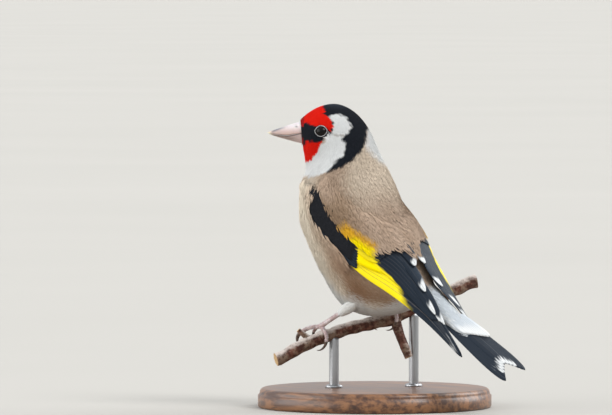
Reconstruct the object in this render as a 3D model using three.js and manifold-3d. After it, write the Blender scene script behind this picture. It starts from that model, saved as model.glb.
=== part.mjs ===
// European goldfinch at life size, perched on a cut length of branch, as a still museum model.
// Millimetres. +X is the way the body faces, +Y its left side, +Z up.
// The origin is the middle of the stand's underside. Shapes are worked out round a body point
// inside the bird, and the last group lifts everything from there to its place over the base.
import * as THREE from "three";
import Module from "manifold-3d";

const wasm = await Module();
wasm.setup();

const GAP = 0.3; // kept between two pieces that touch
const LEFT = 1;
const RIGHT = -1;

// Stand
const BODY_POINT = new THREE.Vector3(0, 3, 48.5); // the body point, seen from the origin
const BASE_RADIUS = 36;
const BASE_THICKNESS = 6;
const ROD_RADIUS = 1.5;
const ROD_SOCKET_DEPTH = 3.5;
const ROD_PLACES = [4.5, 30]; // along the branch, from the left foot

// Head
const HEAD_CENTRE = new THREE.Vector3(10.5, 2, 34.3);
const HEAD_YAW = 44.5; // the head is turned to its left, in degrees
const BILL_LENGTH = 10.5;
const EYE_RADIUS = 2.05;
const EYE_PLACE = { station: 2.72, round: 84 };

// Rear of the body, rolled so that its right side is higher
const REAR_ROLL = 18;

const rad = THREE.MathUtils.degToRad;
const vec = (x, y, z) => new THREE.Vector3(x, y, z);
const smooth = (x) => THREE.MathUtils.smoothstep(x, 0, 1);

// Closed solid from corner points and triangles, turned so that its faces point out.
function solid(points, triangles) {
  const make = (tris) =>
    new wasm.Manifold(
      new wasm.Mesh({
        numProp: 3,
        vertProperties: new Float32Array(points.flatMap((p) => [p.x, p.y, p.z])),
        triVerts: new Uint32Array(tris.flat()),
      }),
    );
  const made = make(triangles);
  return made.volume() > 0 ? made : make(triangles.map(([a, b, c]) => [a, c, b]));
}

// Closed solid through rings of equally many points, with a fan over each end.
function loft(rings) {
  const n = rings[0].length;
  const points = rings.flat();
  const triangles = [];
  for (let j = 0; j + 1 < rings.length; j++)
    for (let i = 0; i < n; i++) {
      const k = (i + 1) % n;
      triangles.push([j * n + i, j * n + k, j * n + n + k]);
      triangles.push([j * n + i, j * n + n + k, j * n + n + i]);
    }
  for (const end of [0, rings.length - 1]) {
    const middle = points.length;
    points.push(rings[end].reduce((sum, p) => sum.add(p), vec(0, 0, 0)).divideScalar(n));
    for (let i = 0; i < n; i++) {
      const [a, b] = [end * n + i, end * n + ((i + 1) % n)];
      triangles.push(end ? [a, b, middle] : [b, a, middle]);
    }
  }
  return solid(points, triangles);
}

// Smooth value at place t in a list, through its entries.
function along(list, t) {
  const i = Math.max(0, Math.min(Math.floor(t), list.length - 2));
  const f = t - i;
  const [a, b, c, d] = [-1, 0, 1, 2].map(
    (k) => list[THREE.MathUtils.clamp(i + k, 0, list.length - 1)],
  );
  return b + 0.5 * f * (c - a + f * (2 * a - 5 * b + 4 * c - d + f * (3 * (b - c) + d - a)));
}
const alongPoint = (list, t) => vec(...[0, 1, 2].map((k) => along(list.map((p) => p[k]), t)));

// Round bar along a path of points, with a radius at each, and flat ends.
function bar(path, radii, sides) {
  const rings = path.map((p, i) => {
    const next = path[Math.min(i + 1, path.length - 1)];
    const ahead = next.clone().sub(path[Math.max(i - 1, 0)]).normalize();
    const side = vec(0.31, 0.83, 0.46).cross(ahead).normalize();
    const up = ahead.clone().cross(side);
    return Array.from({ length: sides }, (_, k) => {
      const turn = (2 * Math.PI * k) / sides;
      return p
        .clone()
        .addScaledVector(side, radii[i] * Math.cos(turn))
        .addScaledVector(up, radii[i] * Math.sin(turn));
    });
  });
  return loft(rings);
}

const union = (solids) => solids.reduce((a, b) => a.add(b));

function largest(made) {
  return made.decompose().reduce((a, b) => (b.volume() > a.volume() ? b : a));
}

// Body: stations from the bill's root to the tail's root. Each is an oval ring that faces
// ahead by yaw and pitch, with its own reach to the crown or back, to the throat or belly,
// and to each side. The head's stations are given in the head's own upright middle plane.
const headStation = (ahead, height, pitch, yaw, up, down, side) => ({
  at: vec(
    HEAD_CENTRE.x + ahead * Math.cos(rad(HEAD_YAW)),
    HEAD_CENTRE.y + ahead * Math.sin(rad(HEAD_YAW)),
    HEAD_CENTRE.z + height,
  ),
  pitch,
  yaw,
  up,
  down,
  side,
});
const bodyStation = (x, y, z, pitch, yaw, up, down, side) => ({
  at: vec(x, y, z),
  pitch,
  yaw,
  up,
  down,
  side,
});
const STATIONS = [
  headStation(11.5, 1.9, -4, 44.5, 3.6, 3.6, 3.2), // root of the bill
  headStation(10.3, 1.6, 7, 44.5, 6.2, 5.5, 5.2), // lores
  headStation(7.9, 1.8, 19, 44.5, 8.7, 8.2, 7.4), // forehead and chin
  headStation(5.4, 1.1, 28, 44.5, 10.6, 10.5, 8.4), // crown and throat
  headStation(3.2, -1, 38, 42, 12, 11.6, 9), // back of the crown
  headStation(1.7, -4.3, 49, 34, 13.2, 12.4, 9.8), // nape
  headStation(0.6, -8.6, 58, 22, 14.2, 13.4, 11.4), // neck
  bodyStation(10, 1, 20.5, 56, 9, 14.6, 15.6, 14.2), // shoulders
  bodyStation(7.6, 0, 13.5, 49, 2, 15, 18.6, 16.4), // breast
  bodyStation(3.2, 0, 4.5, 45, 0, 15.2, 20.8, 17.2), // middle of the back
  bodyStation(-3, 0, -2.5, 42, 0, 14.4, 20.4, 16.6), // belly
  bodyStation(-9.5, 0, -7.5, 38, 0, 12, 16.4, 13.8), // lower belly
  bodyStation(-15.5, 0, -10.6, 34, 0, 8.8, 11, 9.8), // vent
  bodyStation(-21.5, 0, -13, 31, 0, 4.6, 5, 5.4), // root of the tail
];
const HEAD_END = 4.4;
const NECK_END = 6.4;
const TORSO_END = STATIONS.length - 1;

// Oval ring at station t: its middle, and its three directions.
function ringFrame(t) {
  const value = (name) => along(STATIONS.map((s) => s[name]), t);
  const [pitch, yaw] = [rad(value("pitch")), rad(value("yaw"))];
  return {
    at: vec(...["x", "y", "z"].map((k) => along(STATIONS.map((s) => s.at[k]), t))),
    ahead: vec(Math.cos(pitch) * Math.cos(yaw), Math.cos(pitch) * Math.sin(yaw), Math.sin(pitch)),
    up: vec(-Math.sin(pitch) * Math.cos(yaw), -Math.sin(pitch) * Math.sin(yaw), Math.cos(pitch)),
    left: vec(-Math.sin(yaw), Math.cos(yaw), 0),
    reach: { up: value("up"), down: value("down"), side: value("side") },
  };
}

// Point of the coat at station t, round degrees from the back over the left side.
function bodyPoint(t, round, grow = 0) {
  const ring = ringFrame(t);
  const [c, s] = [Math.cos(rad(round)), Math.sin(rad(round))];
  return ring.at
    .clone()
    .addScaledVector(ring.up, c * ((c > 0 ? ring.reach.up : ring.reach.down) + grow))
    .addScaledVector(ring.left, s * (ring.reach.side + grow));
}

// Outward direction of the coat there.
function bodyNormal(t, round) {
  const ahead = bodyPoint(t - 0.05, round).sub(bodyPoint(t + 0.05, round));
  const over = bodyPoint(t, round + 1).sub(bodyPoint(t, round - 1));
  return ahead.cross(over).normalize();
}

// How far a point lies outside the coat of the torso, and the nearest place with the wanted
// clearance, both measured in the ring that passes through it.
function ringThrough(p) {
  let [front, back] = [NECK_END - 2, TORSO_END];
  if (p.clone().sub(ringFrame(back).at).dot(ringFrame(back).ahead) < 0) return null;
  for (let k = 0; k < 24; k++) {
    const t = (front + back) / 2;
    const ring = ringFrame(t);
    if (p.clone().sub(ring.at).dot(ring.ahead) > 0) back = t;
    else front = t;
  }
  const ring = ringFrame(back);
  const across = p.clone().sub(ring.at);
  const [high, wide] = [across.dot(ring.up), across.dot(ring.left)];
  const share = Math.hypot(high / (high > 0 ? ring.reach.up : ring.reach.down), wide / ring.reach.side);
  return { ring, across, clearance: across.length() * (1 - 1 / share) };
}
function keptClear(p, wanted) {
  const place = ringThrough(p);
  if (!place || place.clearance > wanted + 1) return p;
  // the push fades in, so that no crease shows where it starts
  const short = wanted + 1 - place.clearance;
  const push = short < 2 ? (short * short) / 4 : short - 1;
  return p.clone().addScaledVector(place.across.normalize(), push);
}

// The rear of the body, with the wings and the tail, is rolled to one side about a line along
// the back. Everything that grows from the body goes through this.
const ROLL_LINE = { x: 8, z: 15, slope: 0.737 };
const ROLL_FROM = 6;
const ROLL_TO = -30;
function posed(p) {
  const roll = rad(REAR_ROLL) * smooth((ROLL_FROM - p.x) / (ROLL_FROM - ROLL_TO));
  const line = ROLL_LINE.z + (p.x - ROLL_LINE.x) * ROLL_LINE.slope;
  const [y, z] = [p.y, p.z - line];
  return vec(
    p.x,
    y * Math.cos(roll) + z * Math.sin(roll),
    line + z * Math.cos(roll) - y * Math.sin(roll),
  );
}

const RING_SIDES = 24;
function bodyLength(from, to, rings, grow = 0, ends = GAP / 2) {
  const list = [];
  for (let j = 0; j <= rings; j++) {
    const t = from + ((to - from) * j) / rings;
    const shift = j === 0 ? -ends : j === rings ? ends : 0;
    const { ahead } = ringFrame(t);
    list.push(
      Array.from({ length: RING_SIDES }, (_, i) =>
        posed(bodyPoint(t, (360 * i) / RING_SIDES, grow).addScaledVector(ahead, shift)),
      ),
    );
  }
  return loft(list);
}

// Head, with the eyes in their sockets and a raised lid round each
const headAhead = vec(Math.cos(rad(HEAD_YAW)), Math.sin(rad(HEAD_YAW)), 0);
const headLeft = vec(-headAhead.y, headAhead.x, 0);
const inHead = (ahead, side, height) =>
  HEAD_CENTRE.clone()
    .addScaledVector(headAhead, ahead)
    .addScaledVector(headLeft, side)
    .add(vec(0, 0, height));

const EYE_SINK = 1.55; // the eye's middle lies this deep under the coat
const LID = { radius: 1.9, thickness: 0.4, proud: 0.05 };

function ball(centre, radius, sides) {
  const rings = [];
  const steps = sides / 2;
  for (let j = 1; j < steps; j++) {
    const tilt = (Math.PI * j) / steps;
    rings.push(
      Array.from({ length: sides }, (_, i) => {
        const turn = (2 * Math.PI * i) / sides;
        return vec(
          centre.x + radius * Math.sin(tilt) * Math.cos(turn),
          centre.y + radius * Math.sin(tilt) * Math.sin(turn),
          centre.z + radius * Math.cos(tilt),
        );
      }),
    );
  }
  return loft(rings);
}

function eyeFrame(side) {
  const out = bodyNormal(EYE_PLACE.station, side * EYE_PLACE.round);
  const at = bodyPoint(EYE_PLACE.station, side * EYE_PLACE.round);
  return { at, out, centre: at.clone().addScaledVector(out, -EYE_SINK) };
}

// Lid: a ring of small round section that lies on the coat round the eye.
function lid(side) {
  const { at, out } = eyeFrame(side);
  const across = vec(0, 0, 1).cross(out).normalize();
  const over = out.clone().cross(across);
  const [around, section] = [20, 6];
  const points = [];
  const triangles = [];
  for (let j = 0; j < around; j++)
    for (let i = 0; i < section; i++) {
      const [a, b] = [(2 * Math.PI * j) / around, (2 * Math.PI * i) / section];
      const r = LID.radius + LID.thickness * Math.cos(b);
      points.push(
        at
          .clone()
          .addScaledVector(across, r * Math.cos(a))
          .addScaledVector(over, r * Math.sin(a) * 0.92)
          .addScaledVector(out, LID.proud - 0.25 + LID.thickness * Math.sin(b)),
      );
      const [j2, i2] = [(j + 1) % around, (i + 1) % section];
      triangles.push([j * section + i, j2 * section + i, j2 * section + i2]);
      triangles.push([j * section + i, j2 * section + i2, j * section + i2]);
    }
  return solid(points, triangles);
}

function makeHead() {
  let head = bodyLength(0, HEAD_END, 14);
  for (const side of [LEFT, RIGHT]) head = head.add(lid(side));
  for (const side of [LEFT, RIGHT])
    head = head.subtract(ball(eyeFrame(side).centre, EYE_RADIUS + GAP, 16));
  return largest(head);
}

// Bill: both halves run from inside the face to the tip along the head's middle plane.
const BILL_ROOT = 11.5; // ahead of the head's centre
const BILL = [
  // share of the length, top, mouth, bottom, half width
  [-0.2, 5.9, 1.6, -2, 3.5],
  [0, 5.3, 1.5, -1.6, 3.15],
  [0.2, 4.65, 1.15, -1.15, 2.6],
  [0.45, 3.85, 0.8, -0.45, 1.85],
  [0.7, 2.95, 1.0, 0.25, 1.12],
  [0.88, 2.25, 1.25, 0.82, 0.6],
  [1, 1.72, 1.5, 1.3, 0.24],
];
const MOUTH_GAP = 0.3;
const BILL_SIDES = 10;

function billHalf(upper) {
  const rings = BILL.map(([share, top, mouth, bottom, half]) => {
    const edge = upper ? Math.min(mouth + MOUTH_GAP / 2, top - 0.15) : mouth - MOUTH_GAP / 2;
    const far = upper ? top : Math.min(bottom, edge - 0.12);
    return Array.from({ length: BILL_SIDES + 1 }, (_, i) => {
      const turn = (Math.PI * i) / BILL_SIDES;
      const width = upper ? half : half * 0.9;
      return inHead(
        BILL_ROOT + share * (BILL_LENGTH - (upper ? 0 : 0.5)),
        width * Math.cos(turn),
        edge + (far - edge) * Math.sin(turn) ** 0.85,
      );
    });
  });
  let half = loft(rings).subtract(bodyLength(-0.02, 3, 12, GAP, 0));
  if (upper)
    for (const side of [LEFT, RIGHT])
      half = half.subtract(ball(inHead(BILL_ROOT + 1.9, side * 2.35, 3.5), 0.5, 8));
  return largest(half);
}

// Wings: feathers lie over a thin curved core, from the bend of the wing to its tip. The lower
// and the inner edge are curves of the left wing, and the right one is its mirror, held closer.
const WING_LOW = [
  [12, 13.4, 19],
  [8.8, 16, 12.8],
  [1.6, 17.6, 4.8],
  [-9.8, 16.2, -3.6],
  [-18.4, 13.4, -10.2],
  [-28, 10.2, -17.6],
  [-36.6, 8.2, -24.6],
  [-44.5, 7, -30.2],
];
const WING_HIGH = [
  [10.5, 12.5, 21.5],
  [4.5, 14.2, 17.5],
  [-4, 12, 12.4],
  [-11.5, 7, 8.4],
  [-18.3, 1.2, 3],
  [-25.5, 0.9, -7.6],
  [-34, 3.4, -17],
  [-43.9, 6.2, -28.6],
];
const WING_BULGE = [0.2, 0.3, 0.4, 0.5, 0.6, 0.5, 0.3, 0];
const WING_CLEAR = 0.65; // the underside stands this far off the coat
const RIGHT_TUCK = { closer: 0.16, lower: 2 };

// Point of the wing at u along it and v across it, lifted off its underside by millimetres.
function wingPoint(side, u, v, lift) {
  const t = u * (WING_LOW.length - 1);
  const low = alongPoint(WING_LOW, t);
  const high = alongPoint(WING_HIGH, t);
  const ahead = alongPoint(WING_LOW, t - 0.1).sub(alongPoint(WING_LOW, t + 0.1));
  const out = high.clone().sub(low).cross(ahead).normalize();
  const under = low.lerp(high, v).addScaledVector(out, 4 * v * (1 - v) * along(WING_BULGE, t));
  if (side === RIGHT) {
    const tucked = smooth((u - 0.45) / 0.55);
    under.y *= -(1 - RIGHT_TUCK.closer * tucked);
    under.z -= RIGHT_TUCK.lower * tucked;
    out.y *= -1;
  }
  return posed(keptClear(under, WING_CLEAR).addScaledVector(out, lift));
}
const wingWidth = (u) => {
  const t = u * (WING_LOW.length - 1);
  return Math.max(2.2, alongPoint(WING_LOW, t).distanceTo(alongPoint(WING_HIGH, t)));
};

// Closed plate between an upper and a lower grid of points, split alike on both.
function plate(upper, lower) {
  const [rows, columns] = [upper.length, upper[0].length];
  const points = [...upper.flat(), ...lower.flat()];
  const under = rows * columns;
  const triangles = [];
  const quad = (a, b, c, d) => triangles.push([a, b, c], [a, c, d]);
  for (let j = 0; j + 1 < rows; j++)
    for (let i = 0; i + 1 < columns; i++) {
      const [a, b, c, d] = [
        j * columns + i,
        j * columns + i + 1,
        (j + 1) * columns + i + 1,
        (j + 1) * columns + i,
      ];
      triangles.push([a, b, c], [a, c, d], [under + a, under + c, under + b]);
      triangles.push([under + a, under + d, under + c]);
    }
  for (let j = 0; j + 1 < rows; j++) {
    const [a, b] = [j * columns, (j + 1) * columns];
    quad(a, b, under + b, under + a);
    const last = columns - 1;
    quad(b + last, a + last, under + a + last, under + b + last);
  }
  for (let i = 0; i + 1 < columns; i++) {
    const far = (rows - 1) * columns + i;
    quad(i + 1, i, under + i, under + i + 1);
    quad(far, far + 1, under + far + 1, under + far);
  }
  return solid(points, triangles);
}

// Vane: its outline widens from a sunk root and rounds off at the tip, one edge lies lower
// than the other, and the shaft stands up a little between them.
const VANE_OUTLINE = [
  [0, 0.45],
  [0.33, 0.9],
  [0.67, 1],
  [0.9, 0.75],
  [1, 0.2],
];
const COVERT_OUTLINE = [
  [0, 0.6],
  [0.6, 1],
  [0.88, 0.75],
  [1, 0.25],
];
const VANE_THICKNESS = 0.5;
const SHAFT_HEIGHT = 0.1;
function vane(surface, { root, tip, half, lift, tilt, outline, columns }) {
  const grids = [VANE_THICKNESS, 0].map((above) =>
    outline.map(([s, share]) => {
      const [u, v] = [0, 1].map((k) => THREE.MathUtils.lerp(root[k], tip[k], s));
      const height = THREE.MathUtils.lerp(lift[0], lift[1], s) + above;
      return Array.from({ length: columns }, (_, i) => {
        const across = (2 * i) / (columns - 1) - 1;
        const shaft = columns > 2 ? SHAFT_HEIGHT * (1 - Math.abs(across)) : 0;
        return surface(u, v, across * half * share, height + shaft - tilt * across);
      });
    }),
  );
  return plate(...grids);
}

// Tiers of the wing. Each is a row of vanes from the first to the last, by u and v of root and
// tip, half width and lift in millimetres. Inner feathers lie over outer ones, and the tiers
// nearer the bend lie over those behind them.
const span = (from, to, share) => THREE.MathUtils.lerp(from, to, share);
const WING_TIERS = [
  {
    name: "primaries", // from the outermost, at the lower edge, to the innermost
    count: 8,
    root: (k) => [span(0.34, 0.42, k), span(0.06, 0.4, k)],
    tip: (k) => [1 - 0.17 * k ** 1.15 - (k === 0 ? 0.03 : 0), span(0.3, 0.84, k ** 0.6)],
    half: (k) => span(1.6, 1.8, k),
    lift: (k) => [span(0.1, 0.4, k), span(0.05, 0.5, k)],
    columns: 3,
    outline: VANE_OUTLINE,
  },
  {
    name: "secondaries",
    count: 5,
    root: (k) => [span(0.38, 0.42, k), span(0.42, 0.7, k)],
    tip: (k) => [span(0.84, 0.8, k), span(0.5, 0.86, k)],
    half: () => 2.1,
    lift: (k) => [span(0.4, 0.6, k), span(0.6, 0.8, k)],
    columns: 3,
    outline: VANE_OUTLINE,
  },
  {
    name: "tertials",
    count: 3,
    root: (k) => [span(0.44, 0.42, k), span(0.72, 0.84, k)],
    tip: (k) => [span(0.78, 0.64, k), span(0.86, 0.9, k)],
    half: () => 2.6,
    lift: (k) => [span(0.6, 0.8, k), span(1, 1.3, k)],
    columns: 3,
    outline: VANE_OUTLINE,
  },
  {
    name: "primary coverts",
    count: 3,
    root: (k) => [span(0.2, 0.26, k), span(0.1, 0.26, k)],
    tip: (k) => [span(0.44, 0.5, k), span(0.1, 0.28, k)],
    half: () => 1.7,
    lift: (k) => [0.5, span(0.5, 0.6, k)],
    columns: 2,
    outline: COVERT_OUTLINE,
  },
  {
    name: "greater coverts",
    count: 5,
    root: (k) => [span(0.28, 0.36, k), span(0.3, 0.76, k)],
    tip: (k) => [span(0.52, 0.56, k), span(0.38, 0.8, k)],
    half: () => 2.4,
    lift: (k) => [0.6, span(0.9, 1, k)],
    columns: 2,
    outline: COVERT_OUTLINE,
  },
  {
    name: "median coverts",
    count: 4,
    root: (k) => [span(0.16, 0.26, k), span(0.2, 0.7, k)],
    tip: (k) => [span(0.34, 0.41, k), span(0.24, 0.76, k)],
    half: () => 2,
    lift: (k) => [0.7, span(1.05, 0.9, k)],
    columns: 2,
    outline: COVERT_OUTLINE,
  },
  {
    name: "lesser coverts",
    count: 3,
    root: (k) => [span(0.05, 0.14, k), span(0.3, 0.64, k)],
    tip: (k) => [span(0.2, 0.27, k), span(0.25, 0.7, k)],
    half: () => 1.9,
    lift: (k) => [0.6, span(1.1, 0.8, k)],
    columns: 2,
    outline: COVERT_OUTLINE,
  },
];
const VANE_TILT = 0.2;

// Core of the wing: a thin plate under the tiers
const CORE_END = 0.6;
function wingCore(side) {
  const [rows, columns] = [8, 3];
  const grid = (top) =>
    Array.from({ length: rows + 1 }, (_, j) => {
      const u = (CORE_END * j) / rows;
      const thick = span(1, 0.6, u / CORE_END) * Math.min(1, 0.5 + u * 5);
      const lowEdge = 0.02 + 0.3 * smooth((u - 0.3) / (CORE_END - 0.3));
      return Array.from({ length: columns + 1 }, (_, i) => {
        const v = span(lowEdge, 1, i / columns);
        return wingPoint(side, u, v, top * span(thick, 0.5, v));
      });
    });
  return plate(grid(1), grid(0));
}

function makeWing(side) {
  const surface = (u, v, across, lift) => wingPoint(side, u, v + across / wingWidth(u), lift);
  const vanes = WING_TIERS.flatMap((tier) =>
    Array.from({ length: tier.count }, (_, i) => {
      const k = i / (tier.count - 1);
      return vane(surface, {
        root: tier.root(k),
        tip: tier.tip(k),
        half: tier.half(k),
        lift: tier.lift(k),
        tilt: VANE_TILT,
        outline: tier.outline,
        columns: tier.columns,
      });
    }),
  );
  return largest(union([wingCore(side), ...vanes]).subtract(tailClearance()));
}

// Tail: twelve feathers that leave a base of coverts, which carries on from the body's end
// face. The outer ones are longest, which makes the fork, and the middle pair lies on top.
const TAIL = {
  length: 47.4,
  pitch: 29,
  rootHalf: 1.6,
  tipHalf: 5.7,
  fork: 6,
  pairs: 6,
  half: 1.75,
  step: 0.14, // each feather lies this much under its inner neighbour
};
const TAIL_BASE = [
  // out from the body, reach up, down and to each side
  [GAP / 2, 4.5, 4.9, 5.3],
  [4, 3.5, 4, 4.9],
  [9, 2.3, 2.9, 4.2],
  [15, 1.4, 1.7, 3.6],
  [21, 0.8, 0.9, 3],
  [24, 0.45, 0.5, 2.2],
];
const tailPitch = rad(TAIL.pitch);
function tailPoint(out, across, lift) {
  const end = STATIONS[TORSO_END];
  return posed(
    end.at
      .clone()
      .add(vec(-out * Math.cos(tailPitch), across, -out * Math.sin(tailPitch)))
      .add(vec(-lift * Math.sin(tailPitch), 0, lift * Math.cos(tailPitch))),
  );
}
function tailBase(grow) {
  const sides = 16;
  return loft(
    TAIL_BASE.map(([out, up, down, half]) =>
      Array.from({ length: sides }, (_, i) => {
        const turn = (2 * Math.PI * i) / sides;
        const [c, s] = [Math.cos(turn), Math.sin(turn)];
        return tailPoint(out, s * (half + grow), c * ((c > 0 ? up : down) + grow));
      }),
    ),
  );
}
const tailTip = (share) => TAIL.length - TAIL.fork * (1 - share ** 1.3);

// Plain outline of the tail's feathers, which the wings keep clear of
function tailClearance() {
  const rows = Array.from({ length: 7 }, (_, j) => j / 6);
  const grid = (lift) =>
    rows.map((s) => {
      const half = span(TAIL.rootHalf, TAIL.tipHalf, smooth(s)) + TAIL.half * 0.5 + GAP;
      return [-1, 0, 1].map((v) => tailPoint(2 + s * (TAIL.length - 2), v * half, lift));
    });
  const low = -TAIL.step * TAIL.pairs - 0.5 * VANE_THICKNESS - GAP;
  return plate(grid(0.5 + VANE_THICKNESS + GAP), grid(low)).add(tailBase(GAP));
}

function makeTail() {
  const feathers = [];
  const surface = (out, across, shift, lift) => tailPoint(out, across + shift, lift);
  for (let pair = 0; pair < TAIL.pairs; pair++)
    for (const side of [LEFT, RIGHT]) {
      const share = (pair + 0.5) / TAIL.pairs;
      feathers.push(
        vane(surface, {
          root: [6, side * share * TAIL.rootHalf],
          tip: [tailTip(share), side * share * (TAIL.tipHalf - 0.8)],
          half: TAIL.half,
          lift: [0.1 - pair * 0.05, 0.3 - pair * TAIL.step + (side === LEFT && !pair ? 0.12 : 0)],
          tilt: side * 0.16,
          outline: VANE_OUTLINE,
          columns: 3,
        }),
      );
    }
  return largest(union([tailBase(0), ...feathers]).subtract(bodyLength(12, TORSO_END, 3, GAP, GAP / 2)));
}

// Branch: a crooked twig under the belly, given by its height at places along a level line
// through the feet.
const LEFT_FOOT = vec(10.9, 10, 0);
const BRANCH_TURN = 59.3; // the level line runs back and to the right by this angle, in degrees
const BRANCH_RADIUS = 2;
const BRANCH_PLACES = [-14, -6.3, 0.8, 9.5, 20.6, 32, 44.3, 50];
const BRANCH_HEIGHTS = [-33.6, -29.8, -26.9, -24.2, -21.8, -17.6, -12.4, -10.2];
const branchAlong = vec(-Math.cos(rad(BRANCH_TURN)), -Math.sin(rad(BRANCH_TURN)), 0);

function branchAt(place) {
  let i = 0;
  while (i < BRANCH_PLACES.length - 2 && place > BRANCH_PLACES[i + 1]) i++;
  const f = (place - BRANCH_PLACES[i]) / (BRANCH_PLACES[i + 1] - BRANCH_PLACES[i]);
  return LEFT_FOOT.clone()
    .addScaledVector(branchAlong, place)
    .add(vec(0, 0, along(BRANCH_HEIGHTS, i + f)));
}

// Branch with its stub of a side twig at the knuckle and a thorn-like shoot by the left foot
const KNUCKLE = { place: 22.5, width: 2, swell: 0.28 };
function branch(grow) {
  const path = [];
  const radii = [];
  const [from, to] = [BRANCH_PLACES[0], BRANCH_PLACES[BRANCH_PLACES.length - 1]];
  const steps = 22;
  for (let j = 0; j <= steps; j++) {
    const place = from + ((to - from) * j) / steps;
    const swell = KNUCKLE.swell * Math.exp(-(((place - KNUCKLE.place) / KNUCKLE.width) ** 2));
    path.push(branchAt(place));
    radii.push(BRANCH_RADIUS * (1 + swell + 0.05 * Math.sin(place * 1.3)) + grow);
  }
  const knuckle = branchAt(KNUCKLE.place);
  const twig = [vec(-1, -1, 0), vec(-3, -1, -5), vec(-6, -2, -12)].map((p) => p.add(knuckle));
  const fork = branchAt(-2.5);
  const shoot = [fork, fork.clone().add(vec(2.5, 3.5, 3.6))];
  return union([
    bar(path, radii, 12),
    bar(twig, [1.7 + grow, 1.45 + grow, 1.3 + grow], 10),
    bar(shoot, [1.1 + grow, 0.7 + grow], 8),
  ]);
}

// Legs: the shank, a foot of four toes, and a claw on each. Headings are in degrees from the
// body's own to its outer side, and a foot's curl is how firmly its front toes close.
const FOOT_RADIUS = 1.0;
const FEET = {
  [LEFT]: { place: 0, curl: 0.75, ankle: vec(-0.5, 8.6, -17.2) },
  [RIGHT]: { place: 22.2, curl: 1.35, ankle: vec(-12, -7.4, -14.6) },
};
const HIND_TOE = { name: "1", heading: 178, length: 6, first: -10, last: -105, claw: 5.4, clawLast: -190 };
const FRONT_TOES = [
  { name: "2", heading: -27, length: 6.2, first: 4, last: -48, claw: 3.4, clawLast: -125 },
  { name: "3", heading: 2, length: 9, first: 4, last: -50, claw: 3.8, clawLast: -130 },
  { name: "4", heading: 30, length: 7, first: 4, last: -50, claw: 3.4, clawLast: -125 },
];
const TOES = [HIND_TOE, ...FRONT_TOES];
const TOE_RADIUS = 0.62;
const CLAW_RADIUS = 0.46;
const TOE_STEPS = 8;

const footCentre = (side) =>
  branchAt(FEET[side].place).add(vec(0, 0, BRANCH_RADIUS * 1.1 + GAP + FOOT_RADIUS));

// Points of a toe or claw that bends down evenly in its own upright plane.
function bend(start, heading, length, firstPitch, lastPitch, steps) {
  const path = [start.clone()];
  const flat = vec(Math.cos(rad(heading)), Math.sin(rad(heading)), 0);
  for (let j = 0; j < steps; j++) {
    const pitch = rad(THREE.MathUtils.lerp(firstPitch, lastPitch, (j + 0.5) / steps));
    path.push(
      path[j]
        .clone()
        .addScaledVector(flat, (Math.cos(pitch) * length) / steps)
        .add(vec(0, 0, (Math.sin(pitch) * length) / steps)),
    );
  }
  return path;
}

function toePath(side, toe) {
  const curl = toe === HIND_TOE ? 1 : FEET[side].curl;
  return bend(footCentre(side), side * toe.heading, toe.length, toe.first, toe.last * curl, TOE_STEPS);
}
function toeBar(side, toe, grow) {
  const radii = Array.from({ length: TOE_STEPS + 1 }, (_, i) => {
    const joint = i % 3 ? 0 : 0.08;
    return TOE_RADIUS * (1 - 0.02 * i + joint) + grow;
  });
  return bar(toePath(side, toe), radii, 7);
}
const toes = (side, grow) =>
  union([
    ball(footCentre(side), FOOT_RADIUS + grow, 12),
    ...TOES.map((toe) => toeBar(side, toe, grow)),
  ]);
const makeFoot = (side) => largest(toes(side, 0).subtract(branch(GAP)));

function makeClaw(side, toe) {
  const path = toePath(side, toe);
  const tip = path[TOE_STEPS];
  const ahead = tip.clone().sub(path[TOE_STEPS - 1]).normalize();
  const curl = toe === HIND_TOE ? 1 : FEET[side].curl;
  const steps = 5;
  const claw = bend(
    tip.clone().addScaledVector(ahead, GAP),
    side * toe.heading,
    toe.claw,
    toe.last * curl,
    toe.clawLast * Math.max(curl, 1),
    steps,
  );
  const radii = claw.map((_, i) => CLAW_RADIUS * (1 - i / (steps + 0.6)));
  return largest(bar(claw, radii, 6).subtract(branch(GAP)));
}

// The shank runs from the foot to the feathered upper leg, which is sunk into a pocket of the
// belly's coat, and the right foot is sunk in with it.
const SLEEVE = { out: 2.4, shortest: 2.6, sunk: 5.5, end: 1.15, middle: 2.3, root: 3.2 };
const SHANK_RADII = [0.85, 0.68, 0.68, 0.75];
function sleeveLine(side) {
  const foot = footCentre(side);
  const { ankle } = FEET[side];
  const upward = ankle.clone().sub(foot).normalize();
  let from = SLEEVE.shortest;
  const at = (d) => foot.clone().addScaledVector(upward, d);
  while (ringThrough(at(from)).clearance > SLEEVE.out) from += 0.2;
  return { foot, upward, from };
}
function upperLeg(side, grow) {
  const { foot, upward, from } = sleeveLine(side);
  const length = SLEEVE.out + SLEEVE.sunk;
  const path = [0, 0.15, 0.4, 0.7, 1].map((s) =>
    foot.clone().addScaledVector(upward, from + s * length + (s === 0 ? -grow : s === 1 ? grow : 0)),
  );
  const radii = [SLEEVE.end, 1.6, SLEEVE.middle, 2.9, SLEEVE.root].map((r) => r + grow);
  return bar(path, radii, 12);
}
function makeShank(side) {
  const { foot, upward, from } = sleeveLine(side);
  const ends = [FOOT_RADIUS + GAP, from - GAP];
  const path = [0, 0.3, 0.7, 1].map((s) =>
    foot.clone().addScaledVector(upward, THREE.MathUtils.lerp(...ends, s)),
  );
  return largest(bar(path, SHANK_RADII, 10).subtract(toeBar(side, HIND_TOE, GAP)));
}
const makeUpperLeg = (side) => largest(upperLeg(side, 0).subtract(branch(GAP)).subtract(toes(side, GAP)));

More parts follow.
